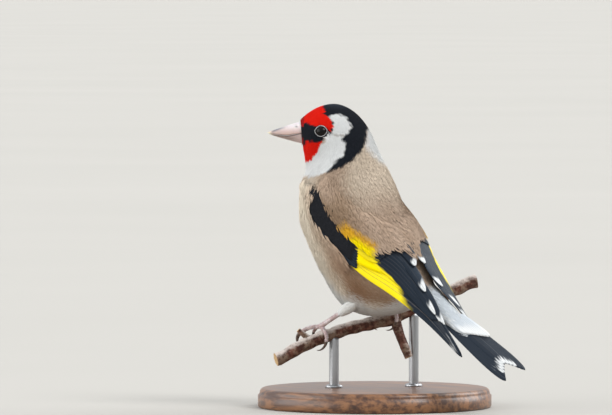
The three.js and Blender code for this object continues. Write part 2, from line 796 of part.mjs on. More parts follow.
function makeTorso() {
  let torso = bodyLength(NECK_END, TORSO_END, 20).subtract(branch(GAP));
  for (const side of [LEFT, RIGHT]) {
    const { foot, upward, from } = sleeveLine(side);
    const shank = [foot, foot.clone().addScaledVector(upward, from)];
    const pocket = [upperLeg(side, GAP), toes(side, GAP), bar(shank, [1.15, 1.15], 10)];
    torso = torso.subtract(union(pocket));
  }
  return largest(torso);
}

// Stand
function lathe(profile, sides) {
  const rings = profile.map(([radius, height]) =>
    Array.from({ length: sides }, (_, i) => {
      const turn = (2 * Math.PI * i) / sides;
      return vec(radius * Math.cos(turn), radius * Math.sin(turn), height);
    }),
  );
  return loft(rings);
}
const onBase = (p, height) => vec(p.x + BODY_POINT.x, p.y + BODY_POINT.y, height);

function rodSocket(place) {
  const foot = onBase(branchAt(place), BASE_THICKNESS - ROD_SOCKET_DEPTH - GAP);
  const top = onBase(branchAt(place), BASE_THICKNESS + 2);
  return bar([foot, top], [ROD_RADIUS + GAP, ROD_RADIUS + GAP], 16);
}
function makeBase() {
  const round = 1.2;
  const disc = lathe(
    [
      [BASE_RADIUS - 0.6, 0],
      [BASE_RADIUS, 0.6],
      [BASE_RADIUS, BASE_THICKNESS - round],
      [BASE_RADIUS - 0.35 * round, BASE_THICKNESS - 0.35 * round],
      [BASE_RADIUS - round, BASE_THICKNESS],
    ],
    48,
  );
  return ROD_PLACES.reduce((base, place) => base.subtract(rodSocket(place)), disc);
}
function makeRod(place) {
  const top = branchAt(place);
  const foot = onBase(top, BASE_THICKNESS - ROD_SOCKET_DEPTH).sub(BODY_POINT);
  return largest(bar([foot, top], [ROD_RADIUS, ROD_RADIUS], 16).subtract(branch(GAP)));
}

// The named meshes
const PAINT = {
  head: ["#a3161b", 0.85],
  coat: ["#9b7a58", 0.9],
  wing: ["#1d1b1c", 0.75],
  tail: ["#1b1b1e", 0.75],
  bill: ["#d9c3b4", 0.45],
  eye: ["#120c0a", 0.08],
  leg: ["#b98878", 0.6],
  claw: ["#5e4740", 0.5],
  bark: ["#7a675c", 0.9],
  base: ["#6b4a33", 0.5],
  rod: ["#8d8f92", 0.3, 1],
};
const bird = new THREE.Group();
bird.position.copy(BODY_POINT);
const group = new THREE.Group();
group.add(bird);

function add(parent, name, made, [color, roughness, metalness = 0]) {
  const { vertProperties, triVerts } = made.getMesh();
  const geometry = new THREE.BufferGeometry()
    .setAttribute("position", new THREE.BufferAttribute(vertProperties, 3))
    .setIndex(new THREE.BufferAttribute(triVerts, 1));
  const material = new THREE.MeshStandardMaterial({ color, roughness, metalness });
  const mesh = new THREE.Mesh(geometry, material);
  mesh.name = name;
  parent.add(mesh);
}

add(bird, "head", makeHead(), PAINT.head);
add(bird, "neck", bodyLength(HEAD_END, NECK_END, 7), PAINT.coat);
add(bird, "torso", makeTorso(), PAINT.coat);
add(bird, "bill_upper", billHalf(true), PAINT.bill);
add(bird, "bill_lower", billHalf(false), PAINT.bill);
for (const [side, word] of [[LEFT, "left"], [RIGHT, "right"]]) {
  add(bird, "eye_" + word, ball(eyeFrame(side).centre, EYE_RADIUS, 16), PAINT.eye);
  add(bird, "wing_" + word, makeWing(side), PAINT.wing);
  add(bird, "upper_leg_" + word, makeUpperLeg(side), PAINT.coat);
  add(bird, "shank_" + word, makeShank(side), PAINT.leg);
  add(bird, "foot_" + word, makeFoot(side), PAINT.leg);
  for (const toe of TOES) add(bird, "claw_" + word + "_" + toe.name, makeClaw(side, toe), PAINT.claw);
}
add(bird, "tail", makeTail(), PAINT.tail);
add(bird, "perch", branch(0), PAINT.bark);
add(group, "stand_base", makeBase(), PAINT.base);
ROD_PLACES.forEach((place, i) => add(bird, "stand_rod_" + (i + 1), makeRod(place), PAINT.rod));

export default group;
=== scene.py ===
"""European goldfinch on a perch and a display stand, laid out as an add-on.

Sizes are in millimetres round a body point inside the bird until a mesh is made. A coat tuft,
a vane of the wing or the tail, and the skin all grow from the same few curves.
"""

import math

import bpy
import numpy as np
from bpy.props import FloatProperty, FloatVectorProperty, IntProperty, PointerProperty
from mathutils import Matrix
from mathutils.kdtree import KDTree


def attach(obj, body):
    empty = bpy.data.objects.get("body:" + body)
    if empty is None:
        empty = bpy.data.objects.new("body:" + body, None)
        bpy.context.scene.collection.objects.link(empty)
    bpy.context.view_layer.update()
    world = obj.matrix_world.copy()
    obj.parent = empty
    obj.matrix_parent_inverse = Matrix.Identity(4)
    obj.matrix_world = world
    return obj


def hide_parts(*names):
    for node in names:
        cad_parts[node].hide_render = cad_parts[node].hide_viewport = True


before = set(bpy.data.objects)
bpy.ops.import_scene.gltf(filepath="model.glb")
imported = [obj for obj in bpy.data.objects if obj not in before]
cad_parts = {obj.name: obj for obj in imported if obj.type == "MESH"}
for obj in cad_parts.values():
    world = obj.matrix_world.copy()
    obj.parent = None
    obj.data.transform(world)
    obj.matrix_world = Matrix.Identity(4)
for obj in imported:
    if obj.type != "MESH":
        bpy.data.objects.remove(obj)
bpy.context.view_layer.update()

bl_info = {
    "name": "Goldfinch display model",
    "version": (1, 0, 0),
    "blender": (4, 5, 0),
    "location": "3D View > Sidebar > Goldfinch",
    "description": "Builds a perched goldfinch with its plumage, its perch and its stand",
    "category": "Object",
}

MM = 0.001
BODY_POINT = np.array([0.0, 3.0, 48.5])  # from the middle of the stand's underside
UP = np.array([0.0, 0.0, 1.0])
OBLIQUE = np.array([0.31, 0.83, 0.46])  # far from the way of every tube
LEFT, RIGHT = 1, -1
SIDES = {LEFT: "left", RIGHT: "right"}


def paint(code):
    """Linear colour of a web colour code."""
    parts = [int(code[i : i + 2], 16) / 255 for i in (1, 3, 5)]
    return tuple(c / 12.92 if c <= 0.04045 else ((c + 0.055) / 1.055) ** 2.4 for c in parts)


def hue(code):
    return np.array(paint(code))


def tint(name, description, code):
    return FloatVectorProperty(
        name=name, description=description, default=paint(code), subtype="COLOR", min=0, max=1
    )


def size(name, description, millimetres):
    return FloatProperty(
        name=name, description=description, default=millimetres * MM, unit="LENGTH", precision=5
    )


def strength(name, description, default):
    return FloatProperty(name=name, description=description, default=default, min=0)


def number(name, description, default):
    return IntProperty(name=name, description=description, default=default, min=1)


# Curves and frames


def unit(v):
    return v / np.maximum(np.linalg.norm(v, axis=-1, keepdims=True), 1e-9)


def dot(a, b):
    return (a * b).sum(-1)


def mix(a, b, share):
    return a + (b - a) * share


def smooth(x):
    x = np.clip(x, 0, 1)
    return x * x * (3 - 2 * x)


def numbers(*values):
    """The values as arrays of one common shape."""
    return np.broadcast_arrays(*(np.asarray(x, float) for x in values))


def full_turn(count):
    """Angles spread evenly round a circle."""
    return np.linspace(0, 2 * np.pi, count, endpoint=False)


def crosswise(out):
    """Two directions at right angles to out, the first one level."""
    across = unit(np.cross(UP, out))
    return across, np.cross(out, across)


def along(table, t):
    """Smooth values at places t in a table, through its rows."""
    table, t = np.asarray(table, float), np.asarray(t, float)
    i = np.clip(np.floor(t).astype(int), 0, len(table) - 2)
    f = (t - i).reshape(t.shape + (1,) * (table.ndim - 1))
    a, b, c, d = (table[np.clip(i + k, 0, len(table) - 1)] for k in (-1, 0, 1, 2))
    bend = f * (3 * (b - c) + d - a)
    return b + 0.5 * f * (c - a + f * (2 * a - 5 * b + 4 * c - d + bend))


def spread(seed, *shape):
    """Random numbers from -1 to 1, the same in every run."""
    return np.random.default_rng(seed).uniform(-1, 1, shape)


def waves(points, scale, seed):
    """Soft random unevenness from -1 to 1 at points, with bumps about scale across."""
    rng = np.random.default_rng(seed)
    total = np.zeros(points.shape[:-1])
    for _ in range(6):
        total += np.sin(points @ (rng.normal(size=3) * 2.2 / scale) + rng.uniform(0, 6.3))
    return total / 3.2


# Body: oval rings from the bill's root to the last covert of the tail. Each has its middle, a
# pitch and yaw, and its reach to the back, to the belly and to each side.
HEAD_CENTRE = np.array([10.5, 2.0, 34.3])
HEAD_YAW = 44.5
HEAD_AHEAD = np.array([math.cos(math.radians(HEAD_YAW)), math.sin(math.radians(HEAD_YAW)), 0.0])
HEAD_LEFT = np.array([-HEAD_AHEAD[1], HEAD_AHEAD[0], 0.0])
TAIL_PITCH = 29
TAIL_ROOT = np.array([-21.5, 0.0, -13.0])
TAIL_BACK = np.array([-math.cos(math.radians(TAIL_PITCH)), 0, -math.sin(math.radians(TAIL_PITCH))])
TAIL_UP = np.array([TAIL_BACK[2], 0, -TAIL_BACK[0]])


def head_ring(ahead, height, *rest):
    """Ring with its middle on the head's middle plane."""
    return [*(HEAD_CENTRE + HEAD_AHEAD * ahead + [0, 0, height]), *rest]


def covert_ring(out, *reach):
    """Ring with its middle out along the tail."""
    return [*(TAIL_ROOT + TAIL_BACK * out), TAIL_PITCH, 0, *reach]


def head_plane(p):
    """Millimetres ahead of the head's centre, and above it."""
    off = p - HEAD_CENTRE
    return dot(off, HEAD_AHEAD), off[..., 2]


RINGS = np.array(
    [
        head_ring(11.5, 1.9, -4, HEAD_YAW, 3.6, 3.6, 3.2),  # root of the bill
        head_ring(10.3, 1.6, 7, HEAD_YAW, 6.2, 5.5, 5.2),  # lores
        head_ring(7.9, 1.8, 19, HEAD_YAW, 8.7, 8.2, 7.4),  # forehead and chin
        head_ring(5.4, 1.1, 28, HEAD_YAW, 10.6, 10.5, 8.4),  # crown and throat
        head_ring(3.2, -1, 38, 42, 12, 11.6, 9),  # back of the crown
        head_ring(1.7, -4.3, 49, 34, 13.2, 12.4, 9.8),  # nape
        head_ring(0.6, -8.6, 58, 22, 14.2, 13.4, 11.4),  # neck
        [10, 1, 20.5, 56, 9, 14.6, 15.6, 14.2],  # shoulders
        [7.6, 0, 13.5, 49, 2, 15, 18.6, 16.4],  # breast
        [3.2, 0, 4.5, 45, 0, 15.2, 20.8, 17.2],  # middle of the back
        [-3, 0, -2.5, 42, 0, 14.4, 20.4, 16.6],  # belly
        [-9.5, 0, -7.5, 38, 0, 12, 16.4, 13.8],  # lower belly
        [-15.5, 0, -10.6, 34, 0, 8.8, 11, 9.8],  # vent
        [*TAIL_ROOT, 31, 0, 4.6, 5, 5.4],  # root of the tail
        covert_ring(4, 3.8, 4, 4.9),
        covert_ring(9, 2.9, 2.9, 4.2),
        covert_ring(15, 1.9, 1.7, 3.6),
        covert_ring(21, 1.1, 0.9, 2.8),
        covert_ring(25, 0.4, 0.3, 1.2),  # end of the coverts
    ]
)
NECK_END = 6.4
TORSO_END = 13
COAT_END = 17.2
REAR_ROLL = math.radians(18)
# Share by which the underside is drawn in, by station
BELLY_TUCK = [
    (7.6, 0), (8.2, 0.085), (8.8, 0.16), (9.4, 0.18), (10, 0.13), (10.6, 0.05), (11.4, 0.015),
    (12.2, 0),
]


def line(points, x):
    """Height at x of straight runs through points."""
    return np.interp(x, *zip(*points))


def ring_frame(t):
    """Middle, the three directions and the reaches of the ring at station t."""
    row = along(RINGS, t)
    pitch, yaw = np.radians(row[..., 3]), np.radians(row[..., 4])
    cp, sp, cy, sy = np.cos(pitch), np.sin(pitch), np.cos(yaw), np.sin(yaw)
    ahead = np.stack([cp * cy, cp * sy, sp], -1)
    up = np.stack([-sp * cy, -sp * sy, cp], -1)
    left = np.stack([-sy, cy, 0 * cy], -1)
    return row[..., :3], ahead, up, left, row[..., 5:8]


def rolled(p):
    """The rear of the body is rolled to one side about a line along the back."""
    roll = REAR_ROLL * smooth((6 - p[..., 0]) / 36)
    spine = 15 + (p[..., 0] - 8) * 0.737
    y, z = p[..., 1], p[..., 2] - spine
    c, s = np.cos(roll), np.sin(roll)
    return np.stack([p[..., 0], y * c + z * s, spine + z * c - y * s], -1)


def on_body(t, turn, grow=0.0):
    """Point of the coat at station t, turn degrees from the back over the left side."""
    at, _, up, left, reach = ring_frame(t)
    c, s = np.cos(np.radians(turn)), np.sin(np.radians(turn))
    slim = 1 - line(BELLY_TUCK, t) * smooth((np.abs(turn) - 75) / 60)
    high = c * (np.where(c > 0, reach[..., 0], reach[..., 1]) * slim + grow)
    wide = s * (reach[..., 2] * slim + grow)
    return rolled(at + up * high[..., None] + left * wide[..., None])


def kept_clear(p, wanted):
    """The points, pushed out of the torso to the wanted clearance."""
    end = ring_frame(np.array(float(TORSO_END)))
    on_torso = dot(p - end[0], end[1]) >= 0
    front, back = np.full(p.shape[:-1], NECK_END - 2.0), np.full(p.shape[:-1], float(TORSO_END))
    for _ in range(SEARCH_STEPS):
        middle = (front + back) / 2
        at, ahead = ring_frame(middle)[:2]
        behind = dot(p - at, ahead) > 0
        back, front = np.where(behind, middle, back), np.where(behind, front, middle)
    at, _, up, left, reach = ring_frame(back)
    across = p - at
    high, wide = dot(across, up), dot(across, left)
    tall = np.where(high > 0, reach[..., 0], reach[..., 1])
    share = np.maximum(np.hypot(high / tall, wide / reach[..., 2]), 1e-6)
    short = wanted + 1 - np.linalg.norm(across, axis=-1) * (1 - 1 / share)
    push = np.where(short < 2, np.maximum(short, 0) ** 2 / 4, short - 1)
    return p + unit(across) * np.where(on_torso & (short > 0), push, 0)[..., None]


# Wing: the lower and the inner edge of the left one; the right one is held closer.
WING_LOW = [
    [12, 13.4, 19],
    [8.8, 16, 12.8],
    [1.6, 17.6, 4.8],
    [-9.8, 16.2, -3.6],
    [-18.4, 13.4, -10.2],
    [-28, 10.2, -17.6],
    [-36.6, 8.2, -24.6],
    [-44.5, 7, -30.2],
]
WING_HIGH = [
    [10.5, 12.5, 21.5],
    [4.5, 14.2, 17.5],
    [-4, 12, 12.4],
    [-11.5, 7, 8.4],
    [-18.3, 1.2, 3],
    [-25.5, 0.9, -7.6],
    [-34, 3.4, -17],
    [-43.9, 6.2, -28.6],
]
WING_BULGE = [0.2, 0.3, 0.4, 0.5, 0.6, 0.5, 0.3, 0]
WING_CLEAR = 0.65
SEARCH_STEPS = 18  # halvings of the search for a point's station
# How much closer the right wing is held: at its shoulder, and towards its tip as a share and down
RIGHT_SHOULDER_IN = 2.3
RIGHT_TIP_IN = 0.16
RIGHT_TIP_DOWN = 2


def wing_frame(u):
    """Lower and inner edge, outward direction and bulge of the left wing at u."""
    t = np.asarray(u, float) * (len(WING_LOW) - 1)
    low, high = along(WING_LOW, t), along(WING_HIGH, t)
    ahead = along(WING_LOW, t - 0.1) - along(WING_LOW, t + 0.1)
    return low, high, unit(np.cross(high - low, ahead)), along(WING_BULGE, t)


def wing_width(u):
    low, high = wing_frame(u)[:2]
    return np.maximum(np.linalg.norm(high - low, axis=-1), 2.2)


def on_wing(side):
    """Surface of one wing: u along it, v across it from the lower edge, lift off its underside."""

    def place(u, v, lift=0.0):
        u, v, lift = numbers(u, v, lift)
        low, high, out, bulge = wing_frame(u)
        under = low + (high - low) * v[..., None] + out * (4 * v * (1 - v) * bulge)[..., None]
        clear = WING_CLEAR
        if side == RIGHT:
            shoulder = smooth((v - 0.25) / 0.4)
            clear = clear - RIGHT_SHOULDER_IN * shoulder * (1 - smooth((u - 0.42) / 0.14))
            tucked = smooth((u - 0.45) / 0.55)
            under[..., 1] *= -(1 - RIGHT_TIP_IN * tucked)
            under[..., 2] -= RIGHT_TIP_DOWN * tucked
            out = out * [1, -1, 1]
        return rolled(kept_clear(under, clear) + out * lift[..., None])

    return place


def on_tail(out, across, lift=0.0):
    """Point of the tail: out from its root, across it to the left, and lift off its plane."""
    out, across, lift = (x[..., None] for x in numbers(out, across, lift))
    return rolled(TAIL_ROOT + TAIL_BACK * out + np.array([0.0, 1.0, 0.0]) * across + TAIL_UP * lift)


# Meshes


def show(name, data):
    """Object of the data in the scene."""
    made = bpy.data.objects.new(name, data)
    bpy.context.scene.collection.objects.link(made)
    return made


def store_plumage(mesh, colours):
    """Colour attribute that the feather materials read, one colour for each point."""
    attribute = mesh.color_attributes.new("Plumage", "FLOAT_COLOR", "POINT")
    rgba = np.concatenate([colours, np.ones((len(colours), 1))], 1)
    attribute.data.foreach_set("color", rgba.astype(np.float32).ravel())


def new_piece(name, points, face_sets, finish, colours=None, uvs=None, normals=None, flat=False):
    """Object with its mesh in metres; colours, uvs and normals are given by point."""
    mesh = bpy.data.meshes.new(name)
    mesh.vertices.add(len(points))
    metres = ((points + BODY_POINT) * MM).astype(np.float32)
    mesh.vertices.foreach_set("co", metres.ravel())
    corners = np.concatenate([f.ravel() for f in face_sets]).astype(np.int32)
    sizes = np.concatenate([np.full(len(f), f.shape[1]) for f in face_sets])
    mesh.loops.add(len(corners))
    mesh.loops.foreach_set("vertex_index", corners)
    mesh.polygons.add(len(sizes))
    starts = np.concatenate([[0], np.cumsum(sizes)[:-1]]).astype(np.int32)
    mesh.polygons.foreach_set("loop_start", starts)
    mesh.polygons.foreach_set("use_smooth", np.full(len(sizes), not flat))
    for uv_name, uv in (uvs or {}).items():
        data = mesh.uv_layers.new(name=uv_name).data
        data.foreach_set("uv", uv[corners].astype(np.float32).ravel())
    if colours is not None:
        store_plumage(mesh, colours)
    mesh.update(calc_edges=True)
    mesh.validate()
    if normals is not None:
        attribute = mesh.attributes.new("custom_normal", "FLOAT_VECTOR", "POINT")
        attribute.data.foreach_set("vector", normals.astype(np.float32).ravel())
    mesh.materials.append(finish)
    return show(name, mesh)


def settle(piece, slot, *nodes):
    """The piece rides on the still body and stands for CAD nodes; the slot is not used."""
    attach(piece, "root")
    if nodes:
        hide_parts(*nodes)


def grid_faces(rows, columns, wrap=False):
    """Quads of a grid of points, row by row, wrapped across its columns if asked."""
    j, i = np.meshgrid(np.arange(rows - 1), np.arange(columns if wrap else columns - 1))
    first = j.ravel() * columns
    here = first + i.ravel()
    there = first + (i.ravel() + 1) % columns
    return np.stack([here, there, there + columns, here + columns], 1)


def outward(points, face_sets):
    """The faces of a closed surface, turned round if it is inside out."""
    volume = 0.0
    for faces in face_sets:
        for k in range(1, faces.shape[1] - 1):
            first, second, third = (points[faces[:, i]] for i in (0, k, k + 1))
            volume += dot(first, np.cross(second, third)).sum()
    return face_sets if volume >= 0 else [f[:, ::-1] for f in face_sets]


def closed_loft(rings):
    """Points and faces of a closed surface through rings, with a fan over each end."""
    rows, columns = rings.shape[:2]
    points = np.concatenate([rings.reshape(-1, 3), rings[[0, -1]].mean(1)])
    i = np.arange(columns)
    k = (i + 1) % columns
    last = (rows - 1) * columns
    near = np.stack([k, i, np.full(columns, rows * columns)], 1)
    far = np.stack([last + i, last + k, np.full(columns, rows * columns + 1)], 1)
    fans = np.concatenate([near, far])
    return points, outward(points, [grid_faces(rows, columns, wrap=True), fans])


def tube(path, radii, sides=14):
    """Rings round a path, each turned as little as possible from the last."""
    path = np.asarray(path, float)
    ahead = unit(np.gradient(path, axis=0))
    side = unit(np.cross(ahead[0], OBLIQUE))
    turn = full_turn(sides)[:, None]
    rings = []
    for p, a, r in zip(path, ahead, radii):
        side = unit(side - a * dot(side, a))
        rings.append(p + r * (side * np.cos(turn) + np.cross(a, side) * np.sin(turn)))
    return np.array(rings)


def merged(parts):
    """One set of points and faces from several closed ones."""
    points, sets, start = [], {}, 0
    for p, faces in parts:
        points.append(p)
        for f in faces:
            sets.setdefault(f.shape[1], []).append(f + start)
        start += len(p)
    return np.concatenate(points), [np.concatenate(f) for f in sets.values()]


def ball(centre, out, radius, rings, sides, bulge=0.0):
    """Rings of a ball round an outward axis, with a bulged front."""
    across, over = crosswise(out)
    tilt = np.linspace(0, np.pi, rings + 2)[1:-1]
    turn = full_turn(sides)[:, None]
    reach = radius * (1 + bulge * np.clip(np.cos(tilt), 0, 1) ** 4)
    rim = (np.sin(tilt) * radius)[:, None, None]
    circle = across * np.cos(turn) + over * np.sin(turn)
    return centre + out * (np.cos(tilt) * reach)[:, None, None] + rim * circle


# Shader and geometry trees


class Value:
    """An output of a node. Arithmetic on it adds Math nodes."""

    def __init__(self, nodes, socket):
        self.nodes = nodes
        self.socket = socket

    def __getitem__(self, name):
        """Another output of the same node."""
        return Value(self.nodes, self.socket.node.outputs[name])

    def math(self, operation, *values):
        return self.nodes.add("ShaderNodeMath", dict(enumerate(values)), operation=operation)

    def apply(self, operation):
        return self.math(operation, self)

    def __add__(self, other):
        return self.math("ADD", self, other)

    __radd__ = __add__

    def __sub__(self, other):
        return self.math("SUBTRACT", self, other)

    def __rsub__(self, other):
        return self.math("SUBTRACT", other, self)

    def __mul__(self, other):
        return self.math("MULTIPLY", self, other)

    __rmul__ = __mul__

    def __pow__(self, other):
        return self.math("POWER", self, other)

    def between(self, low, high):
        """0 up to low and 1 from high on, with a soft rise."""
        inputs = {"Value": self, "From Min": low, "From Max": high}
        return self.nodes.add("ShaderNodeMapRange", inputs, interpolation_type="SMOOTHSTEP")


class Nodes:
    """A node tree. Each call adds a node and gives its first output."""

    def __init__(self, tree):
        self.tree = tree

    def add(self, kind, inputs=None, **settings):
        made = self.tree.nodes.new(kind)
        for name, value in settings.items():
            setattr(made, name, value)
        for name, value in (inputs or {}).items():
            socket = made.inputs[name]
            if isinstance(value, Value):
                self.tree.links.new(value.socket, socket)
            elif socket.type == "RGBA":
                socket.default_value = (*value, 1)
            else:
                socket.default_value = value
        return Value(self, made.outputs[0]) if made.outputs else None

    def plumage(self):
        return self.add("ShaderNodeAttribute", attribute_name="Plumage")

    def colours(self, a, b, share):
        """Mix of two colours; a web code stands for its colour."""
        a, b = (paint(c) if isinstance(c, str) else c for c in (a, b))
        return self.add("ShaderNodeMix", {0: share, 6: a, 7: b}, data_type="RGBA")[2]

    def noise(self, scale, detail=4.0, stretch=(1, 1, 1), rough=0.55):
        place = self.add("ShaderNodeTexCoord")["Object"]
        place = self.add("ShaderNodeMapping", {"Vector": place, "Scale": stretch})
        inputs = {"Vector": place, "Scale": scale, "Detail": detail, "Roughness": rough}
        return self.add("ShaderNodeTexNoise", inputs)

    def bump(self, height, distance, strength):
        inputs = {"Height": height, "Distance": distance, "Strength": strength}
        return self.add("ShaderNodeBump", inputs)

    def vector(self, operation, inputs):
        return self.add("ShaderNodeVectorMath", inputs, operation=operation)


def material(name, **fixed):
    """Turns a function that says what varies into one that gives the material, made only once."""

    def maker(varying):
        def finished(*values):
            made = bpy.data.materials.get(name)
            if made:
                return made
            made = bpy.data.materials.new(name)
            made.use_nodes = True
            shader = made.node_tree.nodes["Principled BSDF"]
            for key, value in fixed.items():
                key = key.replace("_", " ").title().replace("Ior", "IOR")
                shader.inputs[key].default_value = value
            for key, value in varying(Nodes(made.node_tree), *values).items():
                made.node_tree.links.new(value.socket, shader.inputs[key])
            return made

        return finished

    return maker


# Markings


def inside(outline, x, y, soft, uneven=0.0):
    """1 inside an outline in a plane and 0 outside, over a soft edge in millimetres."""
    corners = np.asarray(outline, float)
    nearest = np.full(x.shape, 1e9)
    within = np.zeros(x.shape, bool)
    for (ax, ay), (bx, by) in zip(corners, np.roll(corners, -1, 0)):
        dx, dy = bx - ax, by - ay
        f = np.clip(((x - ax) * dx + (y - ay) * dy) / (dx * dx + dy * dy), 0, 1)
        nearest = np.minimum(nearest, np.hypot(x - ax - f * dx, y - ay - f * dy))
        crosses = (ay > y) != (by > y)
        within ^= crosses & (x < ax + (y - ay) * dx / (dy if dy else 1e-9))
    signed = np.where(within, nearest, -nearest) + uneven
    return smooth(signed / soft + 0.5)


# Outlines on the head's middle plane: millimetres ahead of its centre, and above it
BROW = [
    (11.9, 5.2), (11.7, 7.7), (10.2, 9.9), (8.0, 11.6), (5.2, 12.6), (5.1, 9.8), (4.6, 8.6),
    (5.0, 7.7), (4.0, 6.9), (3.1, 6.2), (2.3, 5.2), (2.1, 3.4), (2.4, 2.1), (3.6, 1.6),
    (5.3, 2.6), (9.0, 3.4), (12.4, 3.8),
]
LORES = [
    (13.0, 5.4), (12.2, 4.9), (11.1, 4.7), (8.6, 4.3), (7.1, 3.9), (5.3, 3.8), (4.2, 3.2),
    (2.5, 2.4), (2.9, 0.9), (4.6, -0.5), (7.1, -0.7), (9.9, -0.9), (10.6, -1.5),
    (11.2, -3.2), (13.0, -3.4),
]
BIB = [
    (12.6, -1.2), (10.4, 0.4), (8.6, 0.4), (5.9, 0.2), (5.1, -0.7), (5.8, -1.8),
    (6.4, -3.2), (7.3, -4.8), (8.4, -6.2), (9.6, -6.8), (10.6, -7.1), (12.6, -6.0),
]
CHEEK = [
    (3.4, 6.9), (2.5, 7.2), (0.3, 7.5), (-1.8, 6.8), (-3.0, 5.4), (-3.7, 3.7), (-3.0, 2.2),
    (-1.8, 1.7), (-1.2, 1.2), (-0.9, 0.0), (-1.8, -1.2), (-1.8, -3.1), (-1.4, -4.6),
    (-0.6, -5.5), (0.3, -6.2), (1.3, -7.1), (2.5, -8.6), (4.0, -9.9), (6.5, -11.1),
    (12.6, -11.6), (13.6, -6.8), (9.3, -6.4), (7.5, -4.5), (6.3, -1.8), (5.0, -0.6),
    (3.8, 0.6), (2.3, 1.8), (2.1, 5.2), (3.1, 6.2),
]
# a thin line of painted shade in the fold between the cheek's two white patches
CREASE_SHADE = [(3.0, 1.9), (1.2, 1.55), (-1.0, 1.5), (-1.1, 1.15), (1.2, 1.2), (3.0, 1.5)]
CAP = [
    (6.1, 12.9), (-0.3, 14.3), (-6.5, 11.2), (-9.9, 5.0), (-8.9, 3.4), (-8.4, 1.2),
    (-8.0, -0.9), (-7.2, -3.1), (-6.1, -4.5), (-4.9, -5.8), (-3.4, -6.9), (-1.5, -8.0),
    (0.6, -9.1), (3.7, -10.2), (5.3, -6.8), (3.4, -0.6), (3.4, 5.4), (6.1, 7.4),
]
NAPE = [
    (-8.4, 3.9), (-10.1, 5.3), (-14.6, -0.6), (-16.8, -8.8), (-12.9, -7.3), (-10.2, -4.6),
    (-8.2, -2.4), (-8.4, 1.2),
]


class PlumageColours(bpy.types.PropertyGroup):
    scarlet: tint("Scarlet", "Face round the bill", "#d3190b")
    black: tint("Black", "Crown, side of the neck and bend of the wing", "#1a1d23")
    # crown_sheen: a painted reflection of the sky on top of the black crown
    crown_sheen: tint("Steel", "Gloss on top of the crown", "#525d6c")
    slate: tint("Slate", "Long feathers of wings and tail", "#161b24")
    # the white of the rump and tail coverts, greyed and blued as painted shade
    white_in_shade: tint("Frost", "Rump and upper coverts of the tail", "#bcc2c7")
    white: tint("White", "Cheeks, vent and the tips of the feathers", "#d6d7d6")
    cream: tint("Cream", "Nape and breast", "#dfd2be")
    buff: tint("Buff", "Sides of the breast", "#bba58f")
    brown: tint("Brown", "Back and shoulders", "#aa9481")
    # besides a random darker tone on the back, this colour paints shade beside the wings
    umber_and_shade: tint("Umber", "Darker shade beside the wings", "#7b634b")
    rust: tint("Rust", "Warm patch on the flanks", "#856044")
    yellow: tint("Yellow", "Bar of the wing", "#f8e000")
    amber: tint("Amber", "Upper end of the wing's bar", "#cf9a1d")
    # lead also gives the grey of the painted shade in the cheek's fold
    lead: tint("Lead", "Downy base of every feather", "#857b72")


def colour(name):
    return np.array(getattr(bpy.context.scene.plumage_colours, name))


def layer(base, name, share):
    return mix(base, colour(name), np.clip(share, 0, 1)[..., None])


def plumage(p, t, turn):
    """Colour of the coat at points of the posed body."""
    ahead, height = head_plane(p)
    ragged = 0.35 * waves(p, 1.2, 3)
    over = np.abs(turn)
    uneven = waves(p, 9, 8)
    rgb = np.broadcast_to(colour("brown"), p.shape).copy()
    rgb = layer(rgb, "umber_and_shade", 0.2 * smooth(0.5 + waves(p, 5, 21)) * smooth((90 - over) / 40))
    upper_back = smooth((56 - over) / 28) * smooth((9.2 - t) / 1.6) * smooth((t - 5.2) / 0.8)
    rgb = layer(rgb, "cream", 0.5 * upper_back)
    # painted shade on each side of the back, beside the wing's inner edge
    shade_by_wing = np.exp(-(((over - 52) / 19) ** 2) - ((t - 8.8) / 1.0) ** 2)
    rgb = layer(rgb, "umber_and_shade", 0.95 * shade_by_wing * (0.85 + 0.25 * uneven))
    # underside: buff sides, umber flanks, a pale front and belly
    rgb = layer(rgb, "buff", smooth((over - 70) / 30) * smooth((t - 5.5) / 1.5))
    side_on = (over - mix(96, 106, smooth((t - 9.6) / 1.6))) / 24
    flank = np.exp(-(side_on**2)) * smooth((t - 8.8) / 1.3) * smooth((12.6 - t) / 1.5)
    rgb = layer(rgb, "rust", 0.85 * flank * (0.9 + 0.1 * uneven))
    front = smooth((over - mix(80, 108, smooth((t - 8) / 3)) - 5 * uneven) / 34)
    rgb = layer(rgb, "cream", front * smooth((t - 5) / 1.5))
    lowest = over - mix(128, 113, smooth((t - 8.3) / 1.8)) + 22 * smooth((t - 11.4) / 0.8) + 5 * uneven
    rgb = layer(rgb, "white", 0.85 * smooth(lowest / 26) * smooth((t - 7) / 2.4))
    # rump, vent and coverts of the tail
    # the rump takes the white with painted bluish shade
    rgb = layer(rgb, "white_in_shade", smooth((t - 12.3 + 0.2 * uneven) / 0.8) * smooth((75 - over) / 20))
    rgb = layer(rgb, "white", smooth((t - 12.2) / 0.8) * smooth((over - 40) / 20))
    # head
    face = smooth((7.4 - t) / 0.8)
    rgb = layer(rgb, "cream", 0.35 * smooth((7 - t) / 1.5) * smooth((over - 90) / 40))
    for name, outline, soft, share in (
        ("white", NAPE, 2.6, 1),
        ("black", CAP, 0.8, 1),
        # painted sky reflection on top of the crown, stronger higher up
        ("crown_sheen", CAP, 0.8, 0.8 * smooth((height - 8.5) / 6)),
        ("white", CHEEK, 0.8, 1),
        # painted shade in the cheek's fold, in the grey of the down
        ("lead", CREASE_SHADE, 0.5, 0.6),
        ("scarlet", BROW, 0.5, 1),
        ("scarlet", BIB, 0.5, 1),
        ("black", LORES, 0.6, 1),
    ):
        rgb = layer(rgb, name, share * inside(outline, ahead, height, soft, ragged) * face)
    return rgb


# Tufts


